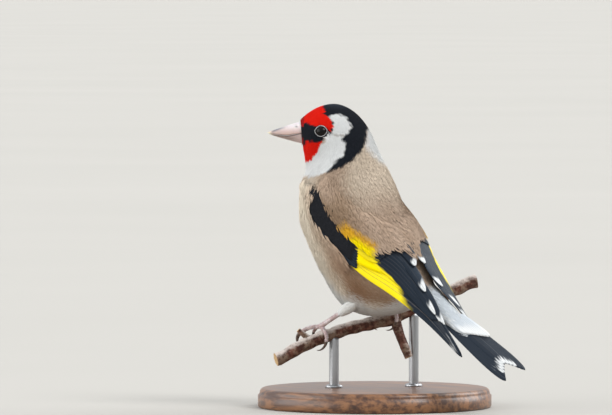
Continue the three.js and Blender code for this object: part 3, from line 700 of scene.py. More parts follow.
def scatter(count, low, high, surface, weight=None, rows=160, columns=160):
    """Roots spread evenly by area over a surface, between two corners of its two parameters."""
    a = np.linspace(low[0], high[0], rows + 1)
    b = np.linspace(low[1], high[1], columns + 1)
    grid_a, grid_b = np.meshgrid(a, b, indexing="ij")
    p = surface(grid_a, grid_b, 0.0)
    area = np.linalg.norm(np.cross(p[1:, :-1] - p[:-1, :-1], p[:-1, 1:] - p[:-1, :-1]), axis=-1)
    if weight is not None:
        area = area * weight(grid_a[:-1, :-1], grid_b[:-1, :-1])
    by_row = np.concatenate([[0], area.sum(1).cumsum()])
    first = (np.arange(count) + 0.5) / count
    second = (np.arange(count) * 0.6180339887) % 1
    root_a = np.interp(first * by_row[-1], by_row, a)
    row = np.clip(((root_a - low[0]) / (high[0] - low[0]) * rows).astype(int), 0, rows - 1)
    by_column = np.concatenate([np.zeros((rows, 1)), area.cumsum(1)], 1)[row]
    wanted = (second * by_column[:, -1])[:, None]
    column = (by_column[:, 1:] < wanted).sum(1)
    below, above = (np.take_along_axis(by_column, column[:, None] + k, 1) for k in (0, 1))
    share = (wanted - below) / np.maximum(above - below, 1e-9)
    root_b = b[column] + share[:, 0] * (b[1] - b[0])
    return root_a, root_b


BLADES_OF_TUFT = 3
# A blade has three rings of three points and a tip
BLADE_STEPS = np.array([0, 0.36, 0.74, 1.0])
BLADE_WIDTHS = np.array([0.6, 1.0, 0.7])
BLADE_RIDGE = np.array([0.5, 1.0, 0.6])
BLADE_TONES = np.array([0.9, 0.97, 1.0, 1.02])
BLADE_POINTS = [3, 3, 3, 1]
BLADE_ROUNDNESS = 0.5
# How much the blades of a tuft differ at random
SHADE_VARIES, LENGTH_VARIES, WIDTH_VARIES, PROUD_VARIES = 0.05, 0.16, 0.15, 0.5
OUTER_BLADES_SHORTER = 0.12
DOWN_SHARE = 0.2
BLADE_QUADS = np.array(
    [[0, 3, 4, 1], [1, 4, 5, 2], [2, 5, 3, 0], [3, 6, 7, 4], [4, 7, 8, 5], [5, 8, 6, 3]]
)
BLADE_ENDS = np.array([[0, 1, 2], [6, 9, 7], [7, 9, 8], [8, 9, 6]])
BAKE_PATCH = 0.003


class Tufts:
    """Thin closed blades that follow a surface from a sunk root to a free tip."""

    def __init__(self, surface, root_a, root_b, length, width, depth, proud, fan=14, seed=1):
        count, blades = len(root_a), BLADES_OF_TUFT
        every = np.repeat(np.arange(count), blades)
        spot = np.tile(np.linspace(-1, 1, blades), count)
        noise = spread(seed, 5, len(every))
        self.shade = 1 + SHADE_VARIES * spread(seed + 1, count)[every] + SHADE_VARIES * noise[0]
        length, width, depth, proud = (
            np.broadcast_to(x, count)[every] for x in (length, width, depth, proud)
        )
        length = length * (1 + LENGTH_VARIES * noise[1] - OUTER_BLADES_SHORTER * np.abs(spot))
        width = width * (1 + WIDTH_VARIES * noise[2])
        proud = proud * (1 + PROUD_VARIES * noise[3])
        turn = np.radians(fan * (spot + 0.5 * noise[4]))
        a, b = root_a[every], root_b[every]
        centres, outs = [], []
        for k, s in enumerate(BLADE_STEPS):
            grow = -depth + (depth + proud) * s**0.75
            place = surface(a, b, grow)
            along_a = (surface(a + 0.01, b, grow) - surface(a - 0.01, b, grow)) / 0.02
            along_b = (surface(a, b + 0.01, grow) - surface(a, b - 0.01, grow)) / 0.02
            rise = surface(a, b, grow + 0.1) - place
            out = unit(np.cross(along_a, along_b))
            out *= np.sign(dot(out, rise))[:, None]
            centres.append(place)
            outs.append(out)
            if k + 1 < len(BLADE_STEPS):
                step = length * (BLADE_STEPS[k + 1] - s)
                a = a + step * np.cos(turn) / np.maximum(np.linalg.norm(along_a, axis=-1), 0.5)
                b = b + step * np.sin(turn) / np.maximum(np.linalg.norm(along_b, axis=-1), 0.02)
        self.root = (root_a[every], root_b[every])
        self.reach = (a - root_a[every], b - root_b[every])
        self.centres = np.stack(centres, 1)
        outs = np.stack(outs, 1)
        ahead = unit(np.gradient(self.centres, axis=1))
        side = unit(np.cross(outs, ahead))
        half = (width[:, None] * BLADE_WIDTHS / 2)[..., None]
        ridge = (width[:, None] * BLADE_RIDGE * 0.14)[..., None]
        body, up, across = self.centres[:, :3], outs[:, :3], side[:, :3]
        ring = np.stack([body - across * half, body + up * ridge, body + across * half], 2)
        self.points = np.concatenate([ring.reshape(len(every), 9, 3), self.centres[:, 3:]], 1)
        lean = BLADE_ROUNDNESS * across
        faced = np.stack([up - lean, up, up + lean], 2).reshape(len(every), 9, 3)
        self.normals = unit(np.concatenate([faced, outs[:, 3:] + 0.2 * ahead[:, 3:]], 1))
        run = np.linalg.norm(np.diff(self.centres, axis=1), axis=-1).sum(1)
        self.keep(run < 1.4 * length + 0.6)

    def keep(self, mask):
        for name in ("points", "normals", "centres", "shade"):
            setattr(self, name, getattr(self, name)[mask])
        self.root = tuple(r[mask] for r in self.root)
        self.reach = tuple(r[mask] for r in self.reach)
        return self

    def piece(self, name, rgb, span_a, span_b=(-180, 180)):
        """Piece of the coat; rgb is by blade, the spans are the surface's two parameters."""
        tones = np.repeat(BLADE_TONES, BLADE_POINTS)
        colours = rgb[:, None, :] * (self.shade[:, None] * tones)[..., None]
        down = colour("lead") * rgb.mean(1)[:, None, None] * 3
        colours[:, :3] = mix(colours[:, :3], down, DOWN_SHARE)
        pick = np.arange(len(self.points))[:, None] * sum(BLADE_POINTS)
        sets = [(pick[..., None] + f).reshape(-1, f.shape[1]) for f in (BLADE_QUADS, BLADE_ENDS)]
        across = [0, 0.5, 1, 0, 0.5, 1, 0, 0.5, 1, 0.5]
        patch = np.stack([across, np.repeat(BLADE_STEPS, BLADE_POINTS)], 1) * BAKE_PATCH
        roots = zip(self.root[::-1], (span_b, span_a))
        place = [(root - low) / (high - low) for root, (low, high) in roots]
        uv = 0.005 + 0.985 * np.clip(np.stack(place, 1), 0, 1)[:, None] + patch
        points, normals = self.points.reshape(-1, 3), self.normals.reshape(-1, 3)
        uvs = {"OFBake": uv.reshape(-1, 2)}
        made = new_piece(
            name, points, sets, feather_material(), colours.reshape(-1, 3), uvs, normals
        )
        settle(made, "coat")


class CoatSizes(bpy.types.PropertyGroup):
    face_length: size("Face feather", "Length of a tuft at the bill's root", 1.2)
    head_length: size("Crown feather", "Length of a tuft on the back of the crown", 2.3)
    body_length: size("Body feather", "Length of a tuft on the body", 5.6)
    depth: size("Depth", "How deep the skin lies under the body's coat", 1.3)
    fullness: FloatProperty(name="Fullness", description="Share of the tufts", default=1, min=0.1, max=1)


def coat_sizes(t):
    """Length, width and depth of the tufts at stations t."""
    s = bpy.context.scene.coat_sizes
    face, head, body = (x / MM for x in (s.face_length, s.head_length, s.body_length))
    length = np.interp(t, [0, 4, 6.6, 8.5, 12.5, 14, 18], [face, head, 3.8, body, body, 6.5, 5.5])
    width = np.interp(t, [0, 4, 6.6, 8.5, 12.5, 14, 18], [0.2, 0.34, 0.46, 0.58, 0.62, 0.6, 0.5])
    depth = np.interp(t, [0, 4, 6.6, 9, 13, 18], [0.35, 0.6, 0.9, s.depth / MM, 1.0, 0.25])
    return length, width, depth


EYE_RADIUS = 2.05
EYE_SINK = 1.55
EYE_STATION, EYE_TURN = 2.72, 84
LID_RADIUS = 1.78
IRIS_RADIUS = 0.8


def eye_frame(side):
    t, turn = np.array(EYE_STATION), np.array(float(side * EYE_TURN))
    at = on_body(t, turn)
    ahead = on_body(t - 0.05, turn) - on_body(t + 0.05, turn)
    over = on_body(t, turn + 1) - on_body(t, turn - 1)
    out = unit(np.cross(ahead, over))
    return at, out, at - out * EYE_SINK


def clear_of_eyes(tufts):
    """Drops the blades that would lie on an eye or its lid."""
    keep = np.ones(len(tufts.points), bool)
    for side in SIDES:
        at, out, _ = eye_frame(side)
        off = tufts.centres - at
        flat = off - out * dot(off, out)[..., None]
        near = (np.linalg.norm(flat, axis=-1) < LID_RADIUS + 0.12) & (np.abs(dot(off, out)) < 3)
        keep &= ~near.any(1)
    return tufts.keep(keep)


def length_to_eye(root_a, root_b, length):
    """Shortens the tufts in front of an eye so that their tips end at its lid."""
    p = on_body(root_a, root_b)
    q = on_body(root_a + 0.05, root_b)
    lie = unit(q - p)
    for side in SIDES:
        at, out, _ = eye_frame(side)
        off = p - at
        off = off - out * dot(off, out)[:, None]
        way = unit(lie - out * dot(lie, out)[:, None])
        closest = -dot(off, way)
        miss2 = dot(off, off) - closest**2
        rim = LID_RADIUS + 0.3
        hit = closest - np.sqrt(np.maximum(rim**2 - miss2, 0))
        near = (np.abs(dot(p - at, out)) < 4) & (miss2 < rim**2) & (hit > 0)
        length = np.where(near, np.minimum(length, np.maximum(hit, 0.15)), length)
    return length


NECK_START = 5
# First and last station, number of tufts and seed
COAT_PARTS = {
    "coat_face": (0.06, 2.1, 2900, 5),
    "coat_cheeks": (2.1, 3.3, 3000, 12),
    "coat_crown": (3.3, 4.9, 3100, 6),
    "coat_neck": (4.9, 7.0, 3500, 7),
    "coat_shoulders": (7.0, 8.4, 3100, 8),
    "coat_breast": (8.4, 9.9, 3500, 9),
    "coat_belly": (9.9, 12.0, 3400, 10),
    "coat_rump": (12.0, COAT_END, 1900, 11),
}


SKIN_SINK = 0.9  # share of the coat's depth
SKIN_THIGH_SINK = 0.4
SKIN_VOXEL = 0.45
# share of the coat's colour kept on the skin: painted shade deep in the coat
SKIN_SHADE = 0.6


@material("body_feather", specular_ior_level=0.06)
def feather_material(nodes):
    fine = nodes.noise(2600, 3)
    rgb = nodes.colours(nodes.plumage(), (0.02, 0.015, 0.012), 0.1 * fine.between(0.5, 0.8))
    return {"Base Color": rgb, "Roughness": 0.66 + 0.25 * fine}


class GOLDFINCH_OT_skin(bpy.types.Operator):
    """Make the skin that lies inside the coat"""

    bl_idname = "goldfinch.skin"
    bl_label = "Skin"

    def execute(self, context):
        t = np.concatenate([np.linspace(0, 6, 60), np.linspace(6.1, COAT_END, 90)])
        t, turn = np.meshgrid(t, np.linspace(-180, 180, 121)[:-1], indexing="ij")
        rings = on_body(t, turn, -SKIN_SINK * coat_sizes(t)[2])
        parts = [closed_loft(rings)]
        parts += [closed_loft(thigh_rings(side, -SKIN_THIGH_SINK)) for side in SIDES]
        skin = new_piece("skin", *merged(parts), feather_material())
        remesh = skin.modifiers.new("One surface", "REMESH")
        remesh.mode = "VOXEL"
        remesh.voxel_size = SKIN_VOXEL * MM
        remesh.use_smooth_shade = True
        ready = skin.evaluated_get(context.evaluated_depsgraph_get())
        mesh = bpy.data.meshes.new_from_object(ready)
        skin.modifiers.clear()
        skin.data = mesh
        self.colour_skin(mesh, t.ravel(), turn.ravel(), rings.reshape(-1, 3))
        settle(skin, "coat", "head", "neck", "torso", "upper_leg_left", "upper_leg_right")
        return {"FINISHED"}

    def colour_skin(self, mesh, t, turn, places):
        """Each point takes the marking of the nearest place on the rings, darker as painted shade deep
        in the coat.
        """
        tree = KDTree(len(places))
        for i, p in enumerate(places):
            tree.insert(p, i)
        tree.balance()
        co = np.zeros(len(mesh.vertices) * 3)
        mesh.vertices.foreach_get("co", co)
        co = co.reshape(-1, 3) / MM - BODY_POINT
        nearest = np.array([tree.find(p)[1] for p in co])
        store_plumage(mesh, plumage(co, t[nearest], turn[nearest]) * SKIN_SHADE)
        if not mesh.materials:
            mesh.materials.append(feather_material())


class GOLDFINCH_OT_coat(bpy.types.Operator):
    """Cover head and body with tufts of small feathers"""

    bl_idname = "goldfinch.coat"
    bl_label = "Coat"

    def execute(self, context):
        for name, (low, high, most, seed) in COAT_PARTS.items():
            count = round(most * context.scene.coat_sizes.fullness)
            t, turn = scatter(count, (low, -180), (high, 180), on_body)
            t = np.clip(t + 0.01 * spread(seed, count), low, high)
            length, width, depth = coat_sizes(t)
            near_eyes = high < NECK_START
            if near_eyes:
                length = length_to_eye(t, turn, length)
            proud = np.interp(t, [0, 4, 9, 13, 17], [0.04, 0.08, 0.18, 0.14, 0.05])
            tufts = Tufts(on_body, t, turn, length, width, depth, proud, seed=seed)
            if near_eyes:
                clear_of_eyes(tufts)
            tufts.piece(name, plumage(tufts.centres[:, 2], *tufts.root), (low, high))
        return {"FINISHED"}


# Flight feathers

# Lines on the wing, as u along it and v across it: where the shoulder's feathers end, and where
# the breast's feathers end on its front and lower edge
SHOULDER_EDGE = [
    (0.06, 1.1), (0.1, 1.05), (0.175, 0.83), (0.263, 0.55), (0.34, 0.45), (0.42, 0.44),
    (0.48, 0.47), (0.545, 0.72), (0.62, 0.99), (1.0, 1.3),
]
BREAST_EDGE = [(-0.2, 0.2), (0.02, 0.185), (0.97, 0.115), (1.3, 0.04)]
FLANK_EDGE = [(0.14, 0.0), (0.2, 0.03), (0.305, 0.09), (0.4, 0.03), (0.44, -0.1)]
# Yellow bar
YELLOW_BAR = [
    (0.4, -0.3), (0.4, 0.52), (0.47, 0.47), (0.484, 0.43), (0.512, 0.335), (0.583, 0.33),
    (0.625, 0.28), (0.694, 0.02), (0.694, -0.3),
]


# Rows of a wing's vanes. Each has the number of its feathers, then u and v of the roots, u and v
# of the tips, half the width, and the lift of root and tip in millimetres. The values of a
# list stand at even steps from the row's first feather to its last.
PRIMARY_TIP_U = [0.985, 1.0, 0.985, 0.9575, 0.93, 0.9125, 0.895, 0.8775, 0.86]
PRIMARY_TIP_V = [0.38, 0.52, 0.6, 0.64, 0.68, 0.695, 0.71, 0.725, 0.74]
PRIMARY_HALF = mix(2.2, 1.9, smooth(np.linspace(0, 1, 9) / 0.3))
WING_ROWS = {
    "primaries": (
        9, [0.34, 0.42], [0.06, 0.4], PRIMARY_TIP_U, PRIMARY_TIP_V, PRIMARY_HALF,
        [0.15, 0.4], [0.1, 0.55],
    ),
    "secondaries": (
        6, [0.38, 0.42], [0.4, 0.68], [0.81, 0.885], [0.42, 0.8], [2.2], [0.45, 0.6], [0.6, 0.8],
    ),
    "tertials": (
        3, [0.48, 0.49], [0.64, 0.84], [0.82, 0.66], [0.62, 0.95], [2.5], [0.3, 0.4], [1.0, 1.3],
    ),
    "primary_coverts": (
        8, [0.24, 0.26], [0.03, 0.36], [0.43, 0.41], [0.06, 0.4], [1.2], [0.6], [0.65, 0.85],
    ),
    "greater_coverts": (
        8, [0.3, 0.36], [0.4, 0.86], [0.5, 0.56], [0.43, 0.86], [1.8], [0.7], [0.9, 1.15],
    ),
}
VANE_ROWS, VANE_COLUMNS = 22, 9
VANE_POINTS = VANE_ROWS * VANE_COLUMNS
VANE_THICKNESS = 0.16


def vane_width(s, pointed):
    """Share of the half width at share s of the length."""
    start = 0.7 + 0.3 * smooth(s / 0.3)
    end = np.clip((1 - s) / (0.22 + 0.2 * pointed), 0, 1)
    return start * np.sqrt(1 - (1 - end) ** (2 + pointed))


def vane(surface, root, tip, half, lift, tilt=0.14, pointed=0.0, fore=0.8, curve=0.0):
    """Points, faces, and s, a, u and v of each point, of a closed vane with a raised shaft."""
    s = 1 - (1 - np.linspace(0, 1, VANE_ROWS)) ** 1.25
    s, a = np.meshgrid(s, np.linspace(-1, 1, VANE_COLUMNS), indexing="ij")
    u = mix(root[0], tip[0], s)
    v = mix(root[1], tip[1], s) + curve * np.sin(np.pi * s)
    across = a * (half * vane_width(s, pointed) + 0.02) * np.where(a < 0, fore, 1.0)
    shaft = 0.09 * np.exp(-((a * 5) ** 2)) * (1 - 0.6 * s)
    height = mix(lift[0], lift[1], s) - tilt * a * 0.8 + 0.1 * (1 - a**2)
    # the edge of the tip stays thin
    thick = VANE_THICKNESS * (0.35 + 0.65 * smooth((1 - np.abs(a)) / 0.5))
    top = surface(u, v, across, height + shaft + thick)
    under = surface(u, v, across, height)
    faces = grid_faces(VANE_ROWS, VANE_COLUMNS)
    index = np.arange(VANE_POINTS).reshape(VANE_ROWS, VANE_COLUMNS)
    rim = np.concatenate([index[0], index[1:, -1], index[-1, -2::-1], index[-2:0:-1, 0]])
    follow = np.roll(rim, -1)
    edge = np.stack([follow, rim, rim + VANE_POINTS, follow + VANE_POINTS], 1)
    points = np.concatenate([top.reshape(-1, 3), under.reshape(-1, 3)])
    quads = np.concatenate([faces, faces[:, ::-1] + VANE_POINTS, edge])
    return points, *outward(points, [quads]), *(np.tile(x.ravel(), 2) for x in (s, a, u, v))


class Plumes:
    """Vanes gathered into one piece, each with a patch of the baked map of its own."""

    def __init__(self):
        self.parts, self.rgb, self.place = [], [], []

    def add(self, made, rgb):
        points, quads, s, a = made[:4]
        self.parts.append((points, [quads]))
        self.rgb.append(rgb)
        self.place.append(np.stack([a * 0.5 + 0.5, s], 1))

    def piece(self, name, node):
        points, sets = merged(self.parts)
        side = math.ceil(math.sqrt(len(self.parts) * 2))
        faces_of_vanes = np.concatenate(self.place).reshape(-1, VANE_POINTS, 2)
        corners = [np.array(divmod(i, side)) / side for i in range(len(faces_of_vanes))]
        bake = np.array(corners)[:, None] + (faces_of_vanes * 0.9 + 0.05) / side
        uvs = {"OFBake": bake.reshape(-1, 2), "Barbs": np.concatenate(self.place)}
        made = new_piece(name, points, sets, vane_material(), np.concatenate(self.rgb), uvs)
        settle(made, "flight_feathers", node)


def wing_rgb(side, row, s, a, u, v, k):
    """Markings of a wing's vane: the yellow bar across its base, the white spot at its tip."""
    rgb = np.broadcast_to(colour("slate"), s.shape + (3,))
    if side == RIGHT:  # folded closer, so less of the bar shows
        v = v + 0.12 * smooth((0.6 - u) / 0.08)
    ragged = 0.006 * np.sin(a * 9 + k * 20) + 0.004 * np.sin(s * 60 + k * 11)
    if row != "primary_coverts":
        rgb = layer(rgb, "yellow", inside(YELLOW_BAR, u, v, 0.014, ragged))
    if row == "tertials":
        spot = smooth((s - 0.835 - 0.03 * a) / 0.03) * smooth((0.8 - np.abs(a - 0.1)) / 0.2)
        rgb = layer(rgb, "white", spot)
    elif row == "secondaries" and k > 0.5:
        spot = smooth((s - 0.93) / 0.02) * smooth((0.9 - np.abs(a)) / 0.2)
        rgb = layer(rgb, "white", spot)
    elif row == "primaries":
        if k < 0.45:
            bow = 0.03 * a * a
            crescent = smooth((s - 0.915 + bow) / 0.01) * smooth((0.945 - bow - s) / 0.01)
            rgb = layer(rgb, "white", 0.8 * crescent)
        if 0.1 < k < 0.7:  # thin pale outer edges
            edge = smooth((-a - 0.62) / 0.2) * smooth((s - 0.12) / 0.08) * smooth((0.95 - s) / 0.05)
            rgb = layer(rgb, "lead", (0.95 if k < 0.2 else 0.35) * edge)
    return rgb


@material("vane", specular_ior_level=0.24, specular_tint=(0.6, 0.8, 1.0, 1))
def vane_material(nodes):
    uv = nodes.add("ShaderNodeUVMap", uv_map="Barbs")
    split = nodes.add("ShaderNodeSeparateXYZ", {0: uv})
    across, down = split["X"], split["Y"]
    web = (across - 0.5).apply("ABSOLUTE")
    uneven = nodes.noise(420, 3)
    barbs = ((down * 230 - web * 60 + uneven * 5).apply("SINE") * 0.5 + 0.5) ** 2
    rgb = nodes.colours(nodes.plumage(), (0.004, 0.004, 0.006), 0.16 * barbs)
    shaft = 1 - web.between(0.0, 0.03)
    rgb = nodes.colours(rgb, (0.045, 0.04, 0.038), 0.7 * shaft)
    normal = nodes.bump(1 - barbs, 0.00004, 0.4)
    return {"Base Color": rgb, "Roughness": 0.4 + 0.2 * uneven, "Normal": normal}


class FlightSizes(bpy.types.PropertyGroup):
    shoulder_tufts: number("Shoulder tufts", "Tufts on each shoulder", 3900)
    covert_tufts: number("Small coverts", "Tufts on each bend of the wing", 900)
    edge_tufts: number("Breast side", "Tufts over each wing's front", 3400)
    tail_length: size("Tail", "From the body's end to the tip of the longest feather", 47.4)
    tail_fork: size("Fork", "How much shorter the middle feathers of the tail are", 6.0)


# Part of the body over which its coat is raised to cover the edges of a wing
DRAPE_FROM, DRAPE_TO = (6.0, -20), (13.4, 150)
DRAPE_GRID = (66, 76)
DRAPE_SLOPE = 0.42
DRAPE_SOFTENINGS = 4  # so that the coat runs smoothly over the steps of the vanes


def draped(side):
    """The body's surface raised over one wing, and where each place of it lies on the wing."""
    u, v = np.meshgrid(np.linspace(0.0, 0.7, 56), np.linspace(0.0, 1.06, 50), indexing="ij")
    edge = smooth(np.minimum(u / 0.15, (1.06 - v) / 0.2))
    rear = 0.4 * smooth((u - 0.3) / 0.15) * smooth((v - 0.35) / 0.2)
    tops = on_wing(side)(u, v, mix(0.2, 1.45, edge) + rear).reshape(-1, 3)
    rows, columns = DRAPE_GRID
    turn = np.linspace(DRAPE_FROM[1], DRAPE_TO[1], columns) * side
    height, place = np.zeros((rows, columns)), np.zeros((rows, columns, 2))
    for i, t in enumerate(np.linspace(DRAPE_FROM[0], DRAPE_TO[0], rows)):
        t = np.full(columns, t)
        base = on_body(t, turn)
        out = unit(on_body(t, turn, 1.0) - base)[:, None]
        off = tops[None] - base[:, None]
        high = dot(off, out)
        flat = np.linalg.norm(off - out * high[..., None], axis=-1)
        raised = high - DRAPE_SLOPE * np.maximum(flat - 0.4, 0)
        best = flat.argmin(1)
        height[i] = np.maximum(raised.max(1), 0)
        place[i] = np.stack([u.ravel()[best], v.ravel()[best]], 1)
    for _ in range(DRAPE_SOFTENINGS):
        wide = np.pad(height, 1, mode="edge")
        around = wide[:-2, 1:-1] + wide[2:, 1:-1] + wide[1:-1, :-2] + wide[1:-1, 2:]
        height = (around + 2 * height) / 6

    def read(table, a, b):
        x, y = (
            np.clip((value - low) / (high - low), 0, 0.9999) * (count - 1)
            for value, low, high, count in zip((a, b * side), DRAPE_FROM, DRAPE_TO, table.shape)
        )
        i, j = x.astype(int), y.astype(int)
        near = mix(table[i, j], table[i + 1, j], x - i)
        far = mix(table[i, j + 1], table[i + 1, j + 1], x - i)
        return mix(near, far, y - j)

    def over(a, b, grow=0.0):
        a, b = numbers(a, b)
        return on_body(a, b, read(height, a, b) + grow)

    def wing_place(a, b):
        return read(place[..., 0], a, b), read(place[..., 1], a, b), read(height, a, b)

    return over, wing_place


class GOLDFINCH_OT_wings(bpy.types.Operator):
    """Make both wings, row over row"""

    bl_idname = "goldfinch.wings"
    bl_label = "Wings"

    def execute(self, context):
        sizes = context.scene.flight_sizes
        for side, word in SIDES.items():
            place = on_wing(side)

            def surface(u, v, across, lift):
                return place(u, v + across / wing_width(u), lift)

            plumes = Plumes()
            for row, (count, *ranges) in WING_ROWS.items():
                for i in range(count):
                    k = i / (count - 1)
                    at = [np.interp(k, np.linspace(0, 1, len(x)), x) for x in ranges]
                    pointed = 1.0 if row == "primaries" else 0.0
                    made = vane(surface, at[:2], at[2:4], at[4], at[5:], pointed=pointed)
                    s, a, u, v = made[2:]
                    v = v + a * at[4] / wing_width(u)
                    plumes.add(made, wing_rgb(side, row, s, a, u, v, k))
            plumes.piece(f"wing_feathers_{word}", f"wing_{word}")
            self.lining(word, place)
            self.small_coverts(word, side, place, sizes.covert_tufts)
            drape = draped(side)
            self.shoulder(word, side, drape, sizes.shoulder_tufts)
            self.breast_side(word, side, drape, sizes.edge_tufts)
        return {"FINISHED"}

    def lining(self, word, place):
        """Thin plate under the rows, which closes the wing from below."""
        u, v = np.meshgrid(np.linspace(0.02, 0.62, 40), np.linspace(0, 1, 14), indexing="ij")
        low = 0.04 + 0.3 * smooth((u - 0.3) / 0.32)
        high = 0.96 - 0.3 * smooth((0.15 - u) / 0.1)
        v = mix(low, high, v)
        thick = 0.2 + 0.7 * smooth(u / 0.14) * (1 - 0.5 * smooth((u - 0.4) / 0.2))
        rings = np.concatenate([place(u, v, thick), place(u, v, 0.05)[:, ::-1]], 1)
        points, sets = closed_loft(rings)
        u, v = (np.concatenate([x, x], 1).ravel() for x in (u, v))
        bar = np.concatenate([inside(YELLOW_BAR, u, v, 0.014), [0, 0]])
        rgb = layer(np.broadcast_to(colour("slate"), points.shape), "yellow", bar)
        piece = new_piece(f"wing_lining_{word}", points, sets, feather_material(), rgb)
        settle(piece, "flight_feathers")

    def small_coverts(self, word, side, place, count):
        """Black lesser coverts from the bend of the wing to the yellow bar"""

        def above(a, b, grow):
            rise = smooth(np.minimum(a / 0.12, (b + 0.1) / 0.25))
            return place(a, b, mix(-0.2, 1.25, rise) - 0.25 * smooth((b - 0.68) / 0.2) + grow)

        u, v = scatter(count, (0.04, 0.0), (0.385, 0.95), above)
        here = (v < line(SHOULDER_EDGE, u) + 0.05) & (u < 0.385 - 0.03 * v)
        here &= u > 0.1 * smooth((v - 0.6) / 0.35)
        tufts = Tufts(above, u[here], v[here], 3.0, 0.6, 0.7, 0.1, fan=12, seed=30 + side)
        black = np.broadcast_to(colour("black"), (len(tufts.points), 3))
        rgb = layer(black, "lead", np.full(len(black), 0.03))
        tufts.piece(f"small_coverts_{word}", rgb, (0, 0.5), (-0.3, 1.3))

    def cover(self, name, side, drape, count, hidden, paint_blades, seed, slack=0.0):
        """Tufts of the body's coat over a wing, wherever hidden(u, v) allows a blade"""
        over, on_the_wing = drape
        t, turn = scatter(count, DRAPE_FROM, DRAPE_TO, lambda a, b, grow: over(a, b * side, grow))
        length, width, depth = coat_sizes(t)
        width, depth = width * 0.95, depth * 0.7
        tufts = Tufts(over, t, turn * side, length, width, depth, 0.17, seed=seed + side)
        ragged = slack + 0.03 * spread(seed, len(tufts.points))

        def wing_at(share):
            return on_the_wing(*(a + share * b for a, b in zip(tufts.root, tufts.reach)))

        u, v, high = wing_at(0)
        keep = hidden(u, v) & (high > 0.04)
        for share in BLADE_STEPS[1:]:
            u, v, high = wing_at(share)
            keep &= hidden(u, v + ragged) | (high < 0.1)
        tufts.keep(keep)
        rgb = plumage(tufts.centres[:, 2], *tufts.root)
        tufts.piece(name, paint_blades(rgb, *wing_at(0.6)[:2]), (DRAPE_FROM[0], DRAPE_TO[0]))

    def shoulder(self, word, side, drape, count):
        """Brown feathers of the back that lie over the inner edge of the wing"""

        def above(u, v):
            return (v > line(SHOULDER_EDGE, u)) & (u < 0.66)

        def brown(rgb, u, v):
            off = v - line(SHOULDER_EDGE, u) + 0.12 * (side == RIGHT)
            inner = smooth((1.06 - v) / 0.35)
            rgb = layer(rgb, "brown", 0.7 * inner * smooth((0.8 - off) / 0.3))
            # painted shade on the shoulder's feathers beside the black bend of the wing
            shade = 0.75 * inner * smooth((0.75 - off) / 0.5) * smooth((0.46 - u) / 0.16)
            rgb = layer(rgb, "umber_and_shade", shade)
            bar = smooth((u - 0.28) / 0.05) * smooth((0.48 - u) / 0.04)
            rgb = layer(rgb, "amber", 0.92 * bar * smooth((0.34 - off) / 0.14))
            return layer(rgb, "yellow", bar * smooth((0.19 - off) / 0.12) * smooth((u - 0.34) / 0.05))

        self.cover(f"shoulder_{word}", side, drape, count, above, brown, 42, 0.04)

    def breast_side(self, word, side, drape, count):
        """Soft feathers of the breast and flank that lie over the wing's front and lower edge"""

        def below(u, v):
            return (v < 1.05) & ((u < line(BREAST_EDGE, v)) | (v < line(FLANK_EDGE, u)))

        def plain(rgb, u, v):
            return rgb

        self.cover(f"breast_side_{word}", side, drape, count, below, plain, 50)


TAIL_PAIRS = 6
TAIL_STEP = 0.16
COVERTS = 8


class GOLDFINCH_OT_tail(bpy.types.Operator):
    """Make the twelve feathers of the tail, and the long coverts over their roots"""

    bl_idname = "goldfinch.tail"
    bl_label = "Tail"

    def execute(self, context):
        sizes = context.scene.flight_sizes
        plumes = Plumes()

        def surface(out, across, shift, lift):
            return on_tail(out, across + shift, lift)

        for pair in range(TAIL_PAIRS):
            for side in SIDES:
                share = (pair + 0.5) / TAIL_PAIRS
                root = (6, side * share * 1.6)
                length = (sizes.tail_length - sizes.tail_fork * (1 - share**1.3)) / MM
                tip = (length, side * share * 4.9)
                top = side == LEFT and not pair
                lift = (0.1 - pair * 0.05, 0.3 - pair * TAIL_STEP + 0.1 * top)
                shape = dict(tilt=side * 0.14, pointed=0.5, fore=1.0, curve=0.5 * side * share)
                made = vane(surface, root, tip, 1.85, lift, **shape)
                plumes.add(made, self.markings(made[2], made[3] * side, pair))
        for i in range(COVERTS):
            k = i / (COVERTS - 1)
            root = (15 + k, mix(1.6, -2.6, k))
            tip = (mix(23.5, 29, k), mix(1.2, -4.2, k))
            made = vane(surface, root, tip, 1.2, (1.1, 0.75), pointed=0.6, fore=1.0)
            # painted bluish shade at each covert's root, fading to white at its tip
            pale = smooth((made[2] - 0.3) / 0.5)[..., None]
            plumes.add(made, mix(colour("white_in_shade"), colour("white"), pale))
        plumes.piece("tail_feathers", "tail")
        return {"FINISHED"}

    def markings(self, s, a, pair):
        """Black, with a white tip on the middle feathers and a white patch on the outer ones"""
        if pair < 4:
            ragged = 0.012 * np.sin(a * 17 + pair * 5) + 0.01 * np.sin(a * 41 + pair)
            spot = smooth((s - 0.92 + 0.02 * np.abs(a) + ragged) / 0.02) * smooth((0.995 - s) / 0.02)
        else:
            spot = smooth((s - 0.72) / 0.06) * smooth((0.88 - s) / 0.05) * smooth((-a + 0.1) / 0.2)
        return mix(colour("slate"), colour("white") * 0.95, spot[..., None])


# Bill


class BillSizes(bpy.types.PropertyGroup):
    length: size("Length", "From the feathers to the tip", 10.5)
    gap: size("Mouth", "Gap between the two halves", 0.16)


BILL_ROOT = 11.5
BRISTLES = 520
BILL = np.array(
    [
        # share of the length, top, mouth, bottom, half width
        [-0.2, 5.9, 1.6, -2, 3.5],
        [0, 5.3, 1.5, -1.6, 3.15],
        [0.2, 4.65, 1.15, -1.15, 2.6],
        [0.45, 3.85, 0.8, -0.45, 1.85],
        [0.7, 2.95, 1.0, 0.25, 1.12],
        [0.88, 2.25, 1.25, 0.82, 0.6],
        [1, 1.72, 1.5, 1.3, 0.24],
    ]
)


def in_head(ahead, side, height):
    ahead, side, height = (x[..., None] for x in numbers(ahead, side, height))
    return HEAD_CENTRE + HEAD_AHEAD * ahead + HEAD_LEFT * side + UP * height


